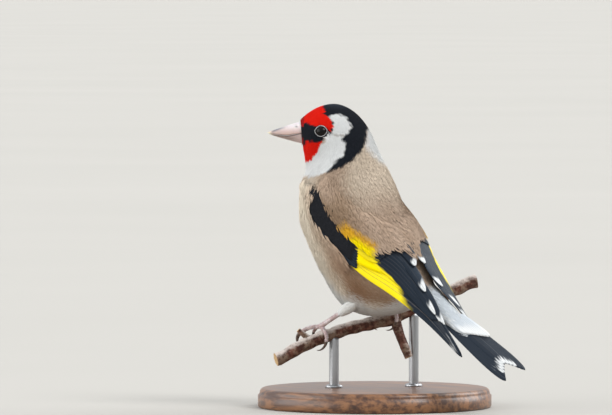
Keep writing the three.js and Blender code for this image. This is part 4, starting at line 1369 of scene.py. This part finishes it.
def bill_half(upper, length, gap):
    """Rings of one half of the bill, and the share of the length of each."""
    t = np.linspace(0, len(BILL) - 1, 64)
    share, top, mouth, bottom, half = along(BILL, t).T
    edge = np.minimum(mouth + gap / 2, top - 0.1) if upper else mouth - gap / 2
    far = top if upper else np.minimum(bottom, edge - 0.08)
    width = (half if upper else half * 0.9)[:, None]
    turn = np.linspace(0, np.pi, 33)
    reach = np.abs(np.cos(turn)) ** 0.95 * np.sign(np.cos(turn))
    ahead = BILL_ROOT + share * (length - (0 if upper else 0.45))
    rise = (far - edge)[:, None] * np.sin(turn) ** 0.85
    sides = width * reach
    if upper:  # a dent at each nostril
        nostril = np.exp(-(((ahead - BILL_ROOT - 1.7) / 0.55) ** 2))[:, None]
        spot = np.exp(-(((np.abs(reach) - 0.72) / 0.12) ** 2))
        sides = sides * (1 - 0.16 * nostril * spot)
    flat = edge[:, None] + 0 * turn[1:-1]
    back = width * reach[::-1][1:-1] * 0.98
    heights = np.concatenate([edge[:, None] + rise, flat], 1)
    widths = np.concatenate([sides, back], 1)
    return in_head(ahead[:, None], widths, heights), share


@material(
    "bill_horn", coat_weight=0.15, coat_roughness=0.3, subsurface_weight=0.12, subsurface_scale=0.001
)
def horn_material(nodes):
    grain = nodes.noise(900, 5, (1, 1, 0.4))
    rgb = nodes.colours(nodes.plumage(), (0.32, 0.2, 0.16), 0.35 * grain.between(0.5, 0.8))
    normal = nodes.bump(grain, 0.00006, 0.5)
    return {"Base Color": rgb, "Roughness": 0.28 + 0.25 * grain, "Normal": normal}


class GOLDFINCH_OT_bill(bpy.types.Operator):
    """Make both halves of the bill, with the bristles over its root"""

    bl_idname = "goldfinch.bill"
    bl_label = "Bill"

    def execute(self, context):
        sizes = context.scene.bill_sizes
        for upper, word in ((True, "upper"), (False, "lower")):
            rings, share = bill_half(upper, sizes.length / MM, sizes.gap / MM)
            points, sets = closed_loft(rings)
            share = np.concatenate([np.repeat(share, rings.shape[1]), share[[0, -1]]])
            rgb = self.horn_rgb(upper, points, share)
            piece = new_piece(f"bill_{word}_horn", points, sets, horn_material(), rgb)
            settle(piece, "bill", f"bill_{word}")
        self.bristles()
        return {"FINISHED"}

    def horn_rgb(self, upper, points, share):
        """Pink and ivory, dark towards the end and with a pale tip; painted light on top of the upper
        half, painted shade at the mouth, the nostrils and under the lower half.
        """
        ahead, height = head_plane(points)
        dusk = hue("#565a63")
        # the upper half is paler towards its top: the bill's ivory, with painted light from above
        ivory = smooth((height - 1.5) / 2.5)[:, None] if upper else 0.3
        rgb = mix(hue("#c3a79e"), hue("#d4cbcb"), ivory)
        tip = smooth((share - 0.35) / 0.4) * (1 - smooth((share - 0.82) / 0.12))
        towards_tip = smooth((share + 0.1) / 0.6)
        if upper:
            ridge = smooth((height - np.interp(share, BILL[:, 0], BILL[:, 1]) + 0.9) / 0.8)
            rgb = mix(rgb, dusk, (0.75 * tip * (0.15 + 0.85 * ridge) + 0.15 * ridge)[:, None])
            # painted shade in the hole of each nostril
            hole = np.exp(-(((ahead - BILL_ROOT - 1.6) / 0.4) ** 2) - ((height - 3.6) / 0.22) ** 2)
            rgb = mix(rgb, dusk * 0.5, 0.9 * hole[:, None])
        else:
            # the lower half darker towards its end: partly its dark tip, partly painted shade under the
            # bill
            rgb = mix(rgb, hue("#6d564b"), (0.7 * towards_tip)[:, None])
        # painted shade along the mouth, between the two halves
        edge = np.abs(height - np.interp(share, BILL[:, 0], BILL[:, 2]))
        mouth = 0.85 * np.exp(-((edge / 0.26) ** 2)) * towards_tip
        rgb = mix(rgb, hue("#4f382c"), mouth[:, None])
        return mix(rgb, hue("#d5c8ab"), smooth((share - 0.86) / 0.1)[:, None])

    def bristles(self):
        """Short black bristles that lean forward over the root of the bill"""
        t, turn = scatter(BRISTLES, (0.12, -180), (0.7, 180), on_body)

        def forward(a, b, grow):
            return on_body(1.0 - a, b, grow)

        tufts = Tufts(forward, 1.0 - t, turn, 0.95, 0.13, 0.2, 0.22, fan=18, seed=60)
        red = sum(inside(outline, *head_plane(tufts.centres[:, 0]), 0.5) for outline in (BROW, BIB))
        rgb = mix(colour("black"), colour("scarlet"), 0.5 * np.clip(red, 0, 1)[:, None])
        tufts.piece("bristles", rgb, (0, 1))


# Eyes


@material("eye_gloss", specular_ior_level=0.16)
def eye_material(nodes):
    streaks = nodes.noise(3000, 3)
    rgb = nodes.colours(nodes.plumage(), (0.0, 0.0, 0.0), 0.4 * streaks)
    return {"Base Color": rgb, "Roughness": 0.04 + 0.03 * streaks}


@material("lid_skin", specular_ior_level=0.5)
def lid_material(nodes):
    fine = nodes.noise(4200, 4)
    rgb = nodes.colours("#5e5b59", "#b9b9bb", fine.between(0.35, 0.65))
    normal = nodes.bump(fine, 0.00008, 0.7)
    return {"Base Color": rgb, "Roughness": 0.45 + 0.2 * fine, "Normal": normal}


class GOLDFINCH_OT_eyes(bpy.types.Operator):
    """Make both eyes and their lids"""

    bl_idname = "goldfinch.eyes"
    bl_label = "Eyes"

    def execute(self, context):
        for side, word in SIDES.items():
            at, out, centre = eye_frame(side)
            points, sets = closed_loft(ball(centre, out, EYE_RADIUS, 30, 40, bulge=0.05))
            off = points - centre
            flat = np.linalg.norm(off - out * dot(off, out)[:, None], axis=-1)
            iris = smooth((flat - IRIS_RADIUS) / 0.15)[:, None]
            rgb = mix(np.full(3, 0.002), hue("#140b07"), iris)
            eyeball = new_piece(f"eyeball_{word}", points, sets, eye_material(), rgb)
            settle(eyeball, "eye", f"eye_{word}")
            settle(self.lid(at, out, word), "eye")
        return {"FINISHED"}

    def lid(self, at, out, word):
        """Beaded ring round an eye, drawn out to a corner in front and behind."""
        rows, columns = 96, 14
        across, over = crosswise(out)
        a, b = np.meshgrid(full_turn(rows), full_turn(columns), indexing="ij")
        beads = 0.022 * np.sin(a * 26) * np.clip(np.cos(b - 0.8), 0, 1)
        thick = 0.125 + beads + 0.03 * np.clip(np.sin(a), 0, 1)
        r = LID_RADIUS - 0.02 + thick * np.cos(b)
        for middle, reach, wide in ((0, 0.16, 0.35), (np.pi, 0.2, 0.3)):
            off = np.angle(np.exp(1j * (a - middle)))
            r = r + reach * np.exp(-((off / wide) ** 2))
        flat = across * (r * np.cos(a))[..., None] + over * (r * np.sin(a) * 0.94)[..., None]
        points = at + flat + out * (-0.1 + thick * np.sin(b) * 0.9)[..., None]
        points = points.reshape(-1, 3)
        quads = grid_faces(rows + 1, columns, wrap=True) % len(points)
        return new_piece(f"lid_{word}", points, outward(points, [quads]), lid_material())


# Perch


class PerchSizes(bpy.types.PropertyGroup):
    radius: size("Radius", "Half the thickness of the branch", 2.0)
    ridges: size("Bark", "Height of the ridges of the bark", 0.2)
    seed: IntProperty(name="Seed", description="Which pattern of bark", default=4)


LEFT_FOOT = np.array([10.9, 10, 0.0])
BRANCH_TURN = math.radians(59.3)
BRANCH_RADIUS = 2.0
BRANCH_PLACES = [-14, -6.3, 0.8, 9.5, 20.6, 32, 44.3, 50]
BRANCH_HEIGHTS = [-33.6, -29.8, -26.9, -24.2, -21.8, -17.6, -12.4, -10.2]
BRANCH_ALONG = np.array([-math.cos(BRANCH_TURN), -math.sin(BRANCH_TURN), 0])
# Stubs: where they leave the branch, their way from there and their radii
KNUCKLE, FORK = 22.5, -2.5
TWIG = [[-0.6, -1, 0.6], [-1, -1, 0], [-3, -1, -5], [-6, -2, -12]]
TWIG_RADII = [1.9, 1.75, 1.45, 1.3]
SHOOT = [2.5, 3.5, 3.6]
SHOOT_RADII = [1.15, 0.68]


def on_branch(place):
    place = np.asarray(place, float)
    t = np.interp(place, BRANCH_PLACES, np.arange(len(BRANCH_PLACES)))
    height = along(BRANCH_HEIGHTS, t)
    return LEFT_FOOT + BRANCH_ALONG * place[..., None] + UP * height[..., None]


def branch_radius(place):
    swell = 0.28 * np.exp(-(((place - KNUCKLE) / 2) ** 2))
    return BRANCH_RADIUS * (1 + swell + 0.05 * np.sin(place * 1.3))


def curve_object(name, splines):
    """Curve of straight runs through points in millimetres, with a radius at each."""
    data = bpy.data.curves.new(name, "CURVE")
    data.dimensions = "3D"
    for points, radii in splines:
        spline = data.splines.new("POLY")
        spline.points.add(len(points) - 1)
        metres = (np.asarray(points) + BODY_POINT) * MM
        corners = np.concatenate([metres, np.ones((len(points), 1))], 1)
        spline.points.foreach_set("co", corners.ravel())
        spline.points.foreach_set("radius", np.asarray(radii, float) * MM)
    return show(name, data)


def geometry_tree(name, inputs):
    """Geometry tree with named inputs, each of a socket kind and a default, and its input node."""
    tree = bpy.data.node_groups.new(name, "GeometryNodeTree")
    inputs = {"Geometry": ("Geometry", None), **inputs, "Material": ("Material", None)}
    for key, (kind, default) in inputs.items():
        kind = f"NodeSocket{kind}"
        socket = tree.interface.new_socket(key, in_out="INPUT", socket_type=kind)
        if default is not None:
            socket.default_value = default
    tree.interface.new_socket("Geometry", in_out="OUTPUT", socket_type="NodeSocketGeometry")
    nodes = Nodes(tree)
    return tree, nodes, nodes.add("NodeGroupInput")


def close_tree(nodes, geometry, skin):
    real = nodes.add("GeometryNodeRealizeInstances", {"Geometry": geometry})
    done = nodes.add("GeometryNodeSetMaterial", {"Geometry": real, "Material": skin})
    soft = nodes.add("GeometryNodeSetShadeSmooth", {"Geometry": done})
    nodes.add("NodeGroupOutput", {"Geometry": soft})


def run_tree(source, tree, values, name):
    """The tree's result on a source object, as a plain mesh object at the origin."""
    modifier = source.modifiers.new(tree.name, "NODES")
    modifier.node_group = tree
    for item in tree.interface.items_tree:
        if item.item_type == "SOCKET" and item.in_out == "INPUT" and item.name in values:
            modifier[item.identifier] = values[item.name]
    ready = source.evaluated_get(bpy.context.evaluated_depsgraph_get())
    mesh = bpy.data.meshes.new_from_object(ready)
    source.modifiers.clear()
    bpy.data.objects.remove(source)
    mesh.name = name
    return show(name, mesh)


def bark_tree():
    """Branch: a round tube along each curve, with ridges of bark pushed out by noise."""
    inputs = {"Ridges": ("Float", 0.0001), "Seed": ("Int", 1)}
    tree, nodes, given = geometry_tree("Bark along a path", inputs)
    path = nodes.add(
        "GeometryNodeResampleCurve", {"Curve": given["Geometry"], "Length": 0.0003}, mode="LENGTH"
    )
    ring = nodes.add("GeometryNodeCurvePrimitiveCircle", {"Resolution": 56, "Radius": 1.0})
    radius = nodes.add("GeometryNodeInputRadius")
    inputs = {"Curve": path, "Profile Curve": ring, "Scale": radius, "Fill Caps": True}
    bark = nodes.add("GeometryNodeCurveToMesh", inputs)
    place = nodes.add("GeometryNodeInputPosition")
    normal = nodes.add("GeometryNodeInputNormal")

    def uneven(scale, detail):
        inputs = {"Vector": place, "W": given["Seed"], "Scale": scale, "Detail": detail}
        return nodes.add("ShaderNodeTexNoise", inputs, noise_dimensions="4D") - 0.5

    height = (uneven(260.0, 3.0) * 2.2 + uneven(1300.0, 4.0) * 1.1) * given["Ridges"]
    offset = nodes.vector("SCALE", {0: normal, "Scale": height})
    moved = nodes.add("GeometryNodeSetPosition", {"Geometry": bark, "Offset": offset})
    close_tree(nodes, moved, given["Material"])
    return tree


@material("mottled_bark", specular_ior_level=0.35)
def bark_material(nodes):
    patch = nodes.noise(210, 4, rough=0.6)
    blotch = nodes.noise(620, 5, rough=0.65)
    speck = nodes.noise(1700, 4)
    fine = nodes.noise(5200, 3)
    facing = nodes.add("ShaderNodeNewGeometry")["Normal"]
    upward = nodes.add("ShaderNodeSeparateXYZ", {0: facing})["Z"]
    rgb = nodes.colours("#432418", "#6f4335", blotch.between(0.4, 0.62))
    rgb = nodes.colours(rgb, "#83715f", 0.7 * (patch * 0.6 + blotch * 0.4).between(0.46, 0.58))
    # pale grey on the upper side is a painted sky reflection, in patches from the noise that also
    # mottles the bark
    pale = (upward * 0.4 + patch * 0.35 + blotch * 0.35).between(0.42, 0.74)
    rgb = nodes.colours(rgb, "#d2c7bf", 0.92 * pale)
    rgb = nodes.colours(rgb, "#2a1610", 0.7 * speck.between(0.57, 0.68))
    normal = nodes.bump(blotch * 0.5 + speck * 0.35 + fine * 0.15, 0.0006, 0.9)
    return {"Base Color": rgb, "Roughness": 0.6 + 0.3 * fine, "Normal": normal}


@material("cut_wood")
def cut_wood_material(nodes):
    rings = nodes.noise(900, 2)
    rgb = nodes.colours("#c9a97a", "#8d6a42", (rings * 40).apply("SINE") * 0.3 + 0.4)
    return {"Base Color": rgb, "Roughness": 0.7 + 0.2 * rings}


class GOLDFINCH_OT_perch(bpy.types.Operator):
    """Make the cut length of branch with its stubs"""

    bl_idname = "goldfinch.perch"
    bl_label = "Perch"

    def execute(self, context):
        sizes = context.scene.perch_sizes
        places = np.linspace(BRANCH_PLACES[0], BRANCH_PLACES[-1], 120)
        thick = sizes.radius / MM / BRANCH_RADIUS
        way = np.linspace(0, 3, 30)
        twig = on_branch(KNUCKLE) + along(TWIG, way)
        shoot = on_branch(FORK) + np.outer(np.linspace(0, 1, 16), SHOOT)
        splines = [
            (on_branch(places), branch_radius(places) * thick),
            (twig, np.interp(way, range(4), TWIG_RADII) * thick),
            (shoot, np.linspace(*SHOOT_RADII, 16) * thick),
        ]
        values = {"Ridges": sizes.ridges, "Seed": sizes.seed, "Material": bark_material()}
        perch = run_tree(curve_object("perch_path", splines), bark_tree(), values, "perch_branch")
        perch.data.materials.append(cut_wood_material())
        for face in perch.data.polygons:
            if len(face.vertices) > 4:
                face.material_index = 1
                face.use_smooth = False
        settle(perch, "bark", "perch")
        return {"FINISHED"}


# Legs

FOOT_RADIUS = 1.0
FEET = {
    LEFT: dict(place=0, curl=0.75, ankle=np.array([-0.5, 8.6, -17.2])),
    RIGHT: dict(place=22.2, curl=1.35, ankle=np.array([-12, -7.4, -14.6])),
}
HIND_TOE = dict(heading=178, length=6, first=-10, last=-105, claw=5.4, claw_last=-190)
FRONT_TOES = [
    dict(heading=-27, length=6.2, first=4, last=-48, claw=3.4, claw_last=-125),
    dict(heading=2, length=9, first=4, last=-50, claw=3.8, claw_last=-130),
    dict(heading=30, length=7, first=4, last=-50, claw=3.4, claw_last=-125),
]
TOES = [HIND_TOE, *FRONT_TOES]
TOE_RADIUS = 0.62
TOE_PADS = 0.1
SHANK = [(0, 0.85), (0.3, 0.68), (0.7, 0.68), (1, 0.8)]
CLAW_RADIUS = 0.46
SLEEVE_START = {LEFT: 8.8, RIGHT: 2.6}
SLEEVE_LENGTH = 7.9  # most of it sunk in the body
# Radius of the feathered leg, from the bare shank up to its end inside the body
THIGH = [(-0.3, 0.75), (0, 1.0), (0.15, 1.35), (0.4, 1.75), (0.62, 1.7), (0.85, 1.0), (1, 0.4)]


def bend(start, heading, length, first, last, steps):
    """Path on one heading whose pitch runs from first to last, in degrees."""
    pitch = np.radians(mix(first, last, (np.arange(steps) + 0.5) / steps))
    heading = math.radians(heading)
    level = [np.cos(pitch) * math.cos(heading), np.cos(pitch) * math.sin(heading)]
    move = np.stack([*level, np.sin(pitch)], 1)
    return np.concatenate([[start], start + np.cumsum(move * length / steps, 0)])


def foot_centre(side):
    return on_branch(FEET[side]["place"]) + [0, 0, BRANCH_RADIUS * 1.1 + 0.3 + FOOT_RADIUS]


def toe_bend(side, toe):
    """Heading and first and last pitch of a toe, and the last pitch of its claw."""
    curl = 1 if toe is HIND_TOE else FEET[side]["curl"]
    return side * toe["heading"], toe["first"], toe["last"] * curl, toe["claw_last"] * max(curl, 1)


def toe_path(side, toe):
    heading, first, last, _ = toe_bend(side, toe)
    return bend(foot_centre(side), heading, toe["length"], first, last, 40)


def sleeve_line(side):
    """Foot, direction up the shank, and where the feathered leg starts on it"""
    foot = foot_centre(side)
    upward = unit(FEET[side]["ankle"] - foot)
    return foot, upward, SLEEVE_START[side]


def thigh_rings(side, grow):
    foot, upward, start = sleeve_line(side)
    s = np.linspace(0, 1, 24)
    path = foot + upward * (start + s * SLEEVE_LENGTH)[:, None]
    return tube(path, line(THIGH, s) + grow * smooth(s / 0.1), 24)


def on_thigh(side):
    foot, upward, start = sleeve_line(side)
    across = unit(np.cross(upward, OBLIQUE))
    over = np.cross(upward, across)

    def place(s, turn, grow=0.0):
        """s runs down the leg, from the body to the bare shank"""
        s, turn, grow = (x[..., None] for x in numbers(s, turn, grow))
        down = 1 - s
        around = across * np.cos(np.radians(turn)) + over * np.sin(np.radians(turn))
        at = foot + upward * (start + down * SLEEVE_LENGTH)
        return at + around * (line(THIGH, down) + grow)

    return place


@material("toe_skin", subsurface_weight=0.1, subsurface_scale=0.001)
def leg_material(nodes):
    blotch = nodes.noise(420, 4)
    fine = nodes.noise(2600, 4)
    rgb = nodes.colours("#a8918e", "#d0c1c0", blotch.between(0.35, 0.65))
    rgb = nodes.colours(rgb, "#5e463e", 0.6 * fine.between(0.52, 0.75))
    normal = nodes.bump(fine, 0.0001, 0.6)
    return {"Base Color": rgb, "Roughness": 0.42 + 0.25 * fine, "Normal": normal}


@material("scute_horn", specular_ior_level=0.5)
def scute_material(nodes):
    blotch = nodes.noise(700, 3)
    rgb = nodes.colours("#c0b0b2", "#8f7874", blotch.between(0.4, 0.7))
    return {"Base Color": rgb, "Roughness": 0.35 + 0.2 * blotch}


@material("claw_horn", specular_ior_level=0.5)
def claw_material(nodes):
    grain = nodes.noise(1500, 3, (1, 1, 0.3))
    rgb = nodes.colours("#4a3a31", "#97806f", grain.between(0.45, 0.8))
    return {"Base Color": rgb, "Roughness": 0.3 + 0.2 * grain}


def scute_tree():
    """Scutes: flat plates set one behind the other on top of each path."""
    inputs = {"Spacing": ("Float", 0.0005), "Width": ("Float", 0.9)}
    tree, nodes, given = geometry_tree("Scutes along a path", inputs)
    inputs = {"Curve": given["Geometry"], "Length": given["Spacing"]}
    path = nodes.add("GeometryNodeResampleCurve", inputs, mode="LENGTH")
    tangent = nodes.add("GeometryNodeInputTangent")
    side = nodes.vector("CROSS_PRODUCT", {0: tangent, 1: UP})
    up = nodes.vector("CROSS_PRODUCT", {0: side, 1: tangent})
    inputs = {"Primary Axis": up, "Secondary Axis": tangent}
    turn = nodes.add("FunctionNodeAxesToRotation", inputs, primary_axis="Z", secondary_axis="X")
    radius = nodes.add("GeometryNodeInputRadius")
    plate = nodes.add("GeometryNodeMeshIcoSphere", {"Radius": 1.0, "Subdivisions": 2})
    wide = radius * given["Width"]
    inputs = {"X": given["Spacing"] * 0.66, "Y": wide, "Z": radius * 0.34}
    scale = nodes.add("ShaderNodeCombineXYZ", inputs)
    offset = nodes.vector("SCALE", {0: nodes.vector("NORMALIZE", {0: up}), "Scale": radius * 0.76})
    placed = nodes.add("GeometryNodeSetPosition", {"Geometry": path, "Offset": offset})
    inputs = {"Points": placed, "Instance": plate, "Rotation": turn, "Scale": scale}
    plates = nodes.add("GeometryNodeInstanceOnPoints", inputs)
    close_tree(nodes, plates, given["Material"])
    return tree


class LegSizes(bpy.types.PropertyGroup):
    scute_spacing: size("Scutes", "From one scute to the next along a toe", 0.62)
    thigh_tufts: number("Thigh tufts", "Tufts on each feathered leg", 420)


class GOLDFINCH_OT_legs(bpy.types.Operator):
    """Make the feathered legs, shanks, feet and claws"""

    bl_idname = "goldfinch.legs"
    bl_label = "Legs"

    def execute(self, context):
        sizes = context.scene.leg_sizes
        skin = leg_material()
        tree = scute_tree()
        for side, word in SIDES.items():
            parts = [closed_loft(ball(foot_centre(side), UP, FOOT_RADIUS, 14, 24))]
            splines = []
            for toe in TOES:
                path = toe_path(side, toe)
                way = np.linspace(0, 1, len(path))
                pads = TOE_PADS * np.sin(way * np.pi * 6) ** 2
                radii = TOE_RADIUS * (1.0 - 0.2 * way + pads)
                parts.append(closed_loft(tube(path, radii, 18)))
                splines.append((path[6:], radii[6:]))
            foot = new_piece(f"foot_skin_{word}", *merged(parts), skin)
            settle(foot, "leg_skin", f"foot_{word}")
            foot_point, upward, start = sleeve_line(side)
            way = np.linspace(0, 1, 30)
            path = foot_point + upward * mix(FOOT_RADIUS * 0.4, start + 1.0, way)[:, None]
            radii = line(SHANK, way)
            shank = new_piece(f"shank_skin_{word}", *closed_loft(tube(path, radii, 20)), skin)
            settle(shank, "leg_skin", f"shank_{word}")
            splines.append((path, radii))
            values = {"Spacing": sizes.scute_spacing, "Width": 0.86, "Material": scute_material()}
            paths = curve_object("toe_paths", splines)
            settle(run_tree(paths, tree, values, f"scutes_{word}"), "leg_skin")
            self.claws(side, word)
            self.feathered_leg(side, word, sizes.thigh_tufts)
        return {"FINISHED"}

    def claws(self, side, word):
        for number, toe in enumerate(TOES, 1):
            path = toe_path(side, toe)
            heading, _, first, last = toe_bend(side, toe)
            root = path[-1] - unit(path[-1] - path[-2]) * 0.15
            claw = bend(root, heading, toe["claw"] + 0.4, first, last, 24)
            way = np.linspace(0, 1, len(claw))
            radii = CLAW_RADIUS * 1.05 * (1 - way) ** 0.75 + 0.03
            name = f"claw_horn_{word}_{number}"
            piece = new_piece(name, *closed_loft(tube(claw, radii, 14)), claw_material())
            settle(piece, "claw", f"claw_{word}_{number}")

    def feathered_leg(self, side, word, count):
        place = on_thigh(side)
        s, turn = scatter(count, (0.02, -180), (0.74, 180), place)
        tufts = Tufts(place, s, turn, 2.4, 0.36, 0.4, 0.1, fan=12, seed=70 + side)
        p = tufts.centres[:, 1]
        belly = plumage(p, np.full(len(p), 10.7), np.full(len(p), 140.0))
        white = 0.7 * smooth((tufts.root[0] - 0.35) / 0.4)[:, None]
        tufts.piece(f"leg_feathers_{word}", mix(belly, colour("white"), white), (0, 1))


# Stand


class StandSizes(bpy.types.PropertyGroup):
    radius: size("Radius", "Half the width of the round base", 36)
    thickness: size("Thickness", "Height of the base", 6)
    rod: size("Rod", "Half the thickness of a rod", 1.5)


ROD_PLACES = [4.5, 30]
ROD_SOCKET = 3.5
COLLAR = [(1.5, 0), (2.6, 0), (2.7, 0.2), (2.6, 0.75), (2.2, 0.95), (1.5, 1.0)]


@material("oiled_wood", coat_weight=0.25, coat_roughness=0.25)
def stand_wood_material(nodes):
    grain = nodes.noise(45, 6, (1, 11, 11), 0.6)
    pore = nodes.noise(700, 2, (0.1, 1, 1))
    rgb = nodes.colours("#4b2d1b", "#855a37", grain.between(0.38, 0.62))
    rgb = nodes.colours(rgb, "#26140b", 0.6 * pore.between(0.58, 0.7))
    normal = nodes.bump(pore, 0.00008, 0.4)
    return {"Base Color": rgb, "Roughness": 0.32 + 0.15 * grain, "Normal": normal}


@material("rod_steel", metallic=1.0)
def rod_material(nodes):
    brushed = nodes.noise(900, 3, (1, 1, 0.03))
    rgb = nodes.colours("#8b8c8e", "#b9babc", brushed)
    return {"Base Color": rgb, "Roughness": 0.25 + 0.15 * brushed}


def turned(profile, at):
    """Points and faces of a profile of radius and height, turned round an upright line."""
    turn = full_turn(160)
    circle = np.stack([np.cos(turn), np.sin(turn), 0 * turn], 1)
    radius, height = np.array(profile, float).T[..., None, None]
    return closed_loft(radius * circle + UP * height + at)


class GOLDFINCH_OT_stand(bpy.types.Operator):
    """Make the base and the two rods"""

    bl_idname = "goldfinch.stand"
    bl_label = "Stand"

    def execute(self, context):
        sizes = context.scene.stand_sizes
        wide, tall, rod = sizes.radius / MM, sizes.thickness / MM, sizes.rod / MM
        profile = [(1.0, 0.0), (wide - 0.9, 0.0), (wide - 0.3, 0.15), (wide, 0.6)]
        profile += [(wide, tall - 2.2), (wide - 0.35, tall - 1.9)]
        for b in np.linspace(0, np.pi / 2, 10):
            inward = 1.3 * (1 - math.cos(b))
            profile.append((wide - 0.35 - inward - 0.2, tall - 1.4 + 1.4 * math.sin(b)))
        profile += [(wide - 8, tall), (wide - 20, tall), (1.0, tall)]
        base = new_piece("stand_base_disc", *turned(profile, -BODY_POINT), stand_wood_material())
        settle(base, "stand_wood", "stand_base")
        floor = tall - BODY_POINT[2]
        for number, place in enumerate(ROD_PLACES, 1):
            x, y, top = on_branch(place)
            height = np.linspace(floor - ROD_SOCKET, top - 1.2, 20)
            path = np.stack([np.full(20, x), np.full(20, y), height], 1)
            shape = closed_loft(tube(path, np.full(20, rod), 40))
            piece = new_piece(f"stand_rod_{number}_steel", *shape, rod_material())
            settle(piece, "stand_metal", f"stand_rod_{number}")
            shape = turned(COLLAR, [x, y, floor - 0.05])
            settle(new_piece(f"stand_collar_{number}", *shape, rod_material()), "stand_metal")
        return {"FINISHED"}


# Stage


class StageSizes(bpy.types.PropertyGroup):
    floor: tint("Floor", "Plain floor under the stand", "#b0ada7")
    light: strength("Light", "Strength of the soft light from above", 1.6)
    fill: strength("Fill", "Strength of the light from low on the left", 2.8)
    rim: strength("Rim", "Strength of the light from behind on the right", 1.5)
    sky: strength("Sky", "Strength of the light from all round", 0.84)
    distance: size("Distance", "From the camera to the bird", 2200)


# Where the camera stands, seen from the bird, and the point in the middle of its picture
CAMERA_AZIMUTH = math.radians(44.5)
CAMERA_RISE = math.radians(2.0)
CAMERA_TARGET = np.array([13.6, 13.37, 13.1])
PIXELS_PER_MM = 3.25
IMAGE_WIDTH = 612
FLOOR_REACH = 60000


def aim(obj, place, back):
    """Place an object in millimetres so that it looks along minus back"""
    back = unit(np.asarray(back, float))
    right, up = crosswise(back)
    placed = np.identity(4)
    placed[:3] = np.stack([right, up, back, place * MM], 1)
    obj.matrix_world = Matrix(placed.tolist())


@material("floor", specular_ior_level=0.2)
def floor_material(nodes, pale):
    soft = nodes.noise(3, 2)
    rgb = nodes.colours(pale, [c * 0.94 for c in pale], soft)
    return {"Base Color": rgb, "Roughness": 0.75 + 0.1 * soft}


class GOLDFINCH_OT_stage(bpy.types.Operator):
    """Make the floor, the lights and the camera"""

    bl_idname = "goldfinch.stage"
    bl_label = "Stage"

    def execute(self, context):
        sizes = context.scene.stage_sizes
        scene = context.scene
        corners = np.array([[-1, -1, 0], [1, -1, 0], [1, 1, 0], [-1, 1, 0]]) * float(FLOOR_REACH)
        quads = [np.array([[0, 1, 2, 3]])]
        finish = floor_material(tuple(sizes.floor))
        floor = new_piece("floor", corners - BODY_POINT, quads, finish, flat=True)
        level = np.array([-math.sin(CAMERA_AZIMUTH), math.cos(CAMERA_AZIMUTH), 0.0])
        back = level * math.cos(CAMERA_RISE) + UP * math.sin(CAMERA_RISE)
        camera = show("camera", bpy.data.cameras.new("camera"))
        distance = sizes.distance / MM
        aim(camera, BODY_POINT + CAMERA_TARGET + back * distance, back)
        camera.data.sensor_width = 36
        camera.data.lens = PIXELS_PER_MM * distance / IMAGE_WIDTH * camera.data.sensor_width
        camera.data.clip_start = 0.01
        camera.data.clip_end = 200
        scene.camera = camera
        for name, energy, degrees, way in (
            ("soft_sun", sizes.light, 26, (-0.86, -0.16, 0.92)),
            ("fill", sizes.fill, 70, (0.6, 0.85, 0.12)),
            ("rim", sizes.rim, 40, (-0.3, -0.95, 0.6)),
        ):
            sun = show(name, bpy.data.lights.new(name, "SUN"))
            sun.data.energy = energy
            sun.data.angle = math.radians(degrees)
            aim(sun, np.array([0.0, 0.0, 1500.0]), way)
        world = bpy.data.worlds.new("studio")
        world.use_nodes = True
        nodes = Nodes(world.node_tree)
        way = nodes.add("ShaderNodeTexCoord")["Generated"]
        rise = nodes.add("ShaderNodeSeparateXYZ", {0: way})["Z"]
        sky = world.node_tree.nodes["Background"]
        sky.inputs["Color"].default_value = (0.94, 0.97, 1.0, 1)
        light = rise.between(-0.1, 1.0) * sizes.sky * 0.6 + sizes.sky * 0.8
        world.node_tree.links.new(light.socket, sky.inputs["Strength"])
        scene.world = world
        scene.view_settings.view_transform = "Standard"
        return {"FINISHED"}


class GOLDFINCH_PT_panel(bpy.types.Panel):
    """Lists the pieces of the model and their sizes"""

    bl_idname = "GOLDFINCH_PT_panel"
    bl_label = "Goldfinch"
    bl_space_type = "VIEW_3D"
    bl_region_type = "UI"
    bl_category = "Goldfinch"

    def draw(self, context):
        for operator in OPERATORS:
            self.layout.operator(operator.bl_idname)
        for name in GROUPS:
            box = self.layout.box()
            group = getattr(context.scene, name)
            for prop in group.bl_rna.properties:
                if prop.identifier not in ("rna_type", "name"):
                    box.prop(group, prop.identifier)


GROUPS = {
    "plumage_colours": PlumageColours,
    "coat_sizes": CoatSizes,
    "flight_sizes": FlightSizes,
    "bill_sizes": BillSizes,
    "perch_sizes": PerchSizes,
    "leg_sizes": LegSizes,
    "stand_sizes": StandSizes,
    "stage_sizes": StageSizes,
}
OPERATORS = [
    GOLDFINCH_OT_stage,
    GOLDFINCH_OT_skin,
    GOLDFINCH_OT_coat,
    GOLDFINCH_OT_wings,
    GOLDFINCH_OT_tail,
    GOLDFINCH_OT_bill,
    GOLDFINCH_OT_eyes,
    GOLDFINCH_OT_perch,
    GOLDFINCH_OT_legs,
    GOLDFINCH_OT_stand,
]


def register():
    for name, group in GROUPS.items():
        bpy.utils.register_class(group)
        setattr(bpy.types.Scene, name, PointerProperty(type=group))
    for operator in OPERATORS:
        bpy.utils.register_class(operator)
    bpy.utils.register_class(GOLDFINCH_PT_panel)


def unregister():
    bpy.utils.unregister_class(GOLDFINCH_PT_panel)
    for operator in reversed(OPERATORS):
        bpy.utils.unregister_class(operator)
    for name, group in reversed(GROUPS.items()):
        delattr(bpy.types.Scene, name)
        bpy.utils.unregister_class(group)


def main():
    register()
    for operator in OPERATORS:
        group, name = operator.bl_idname.split(".")
        getattr(getattr(bpy.ops, group), name)()


if __name__ == "__main__":
    main()
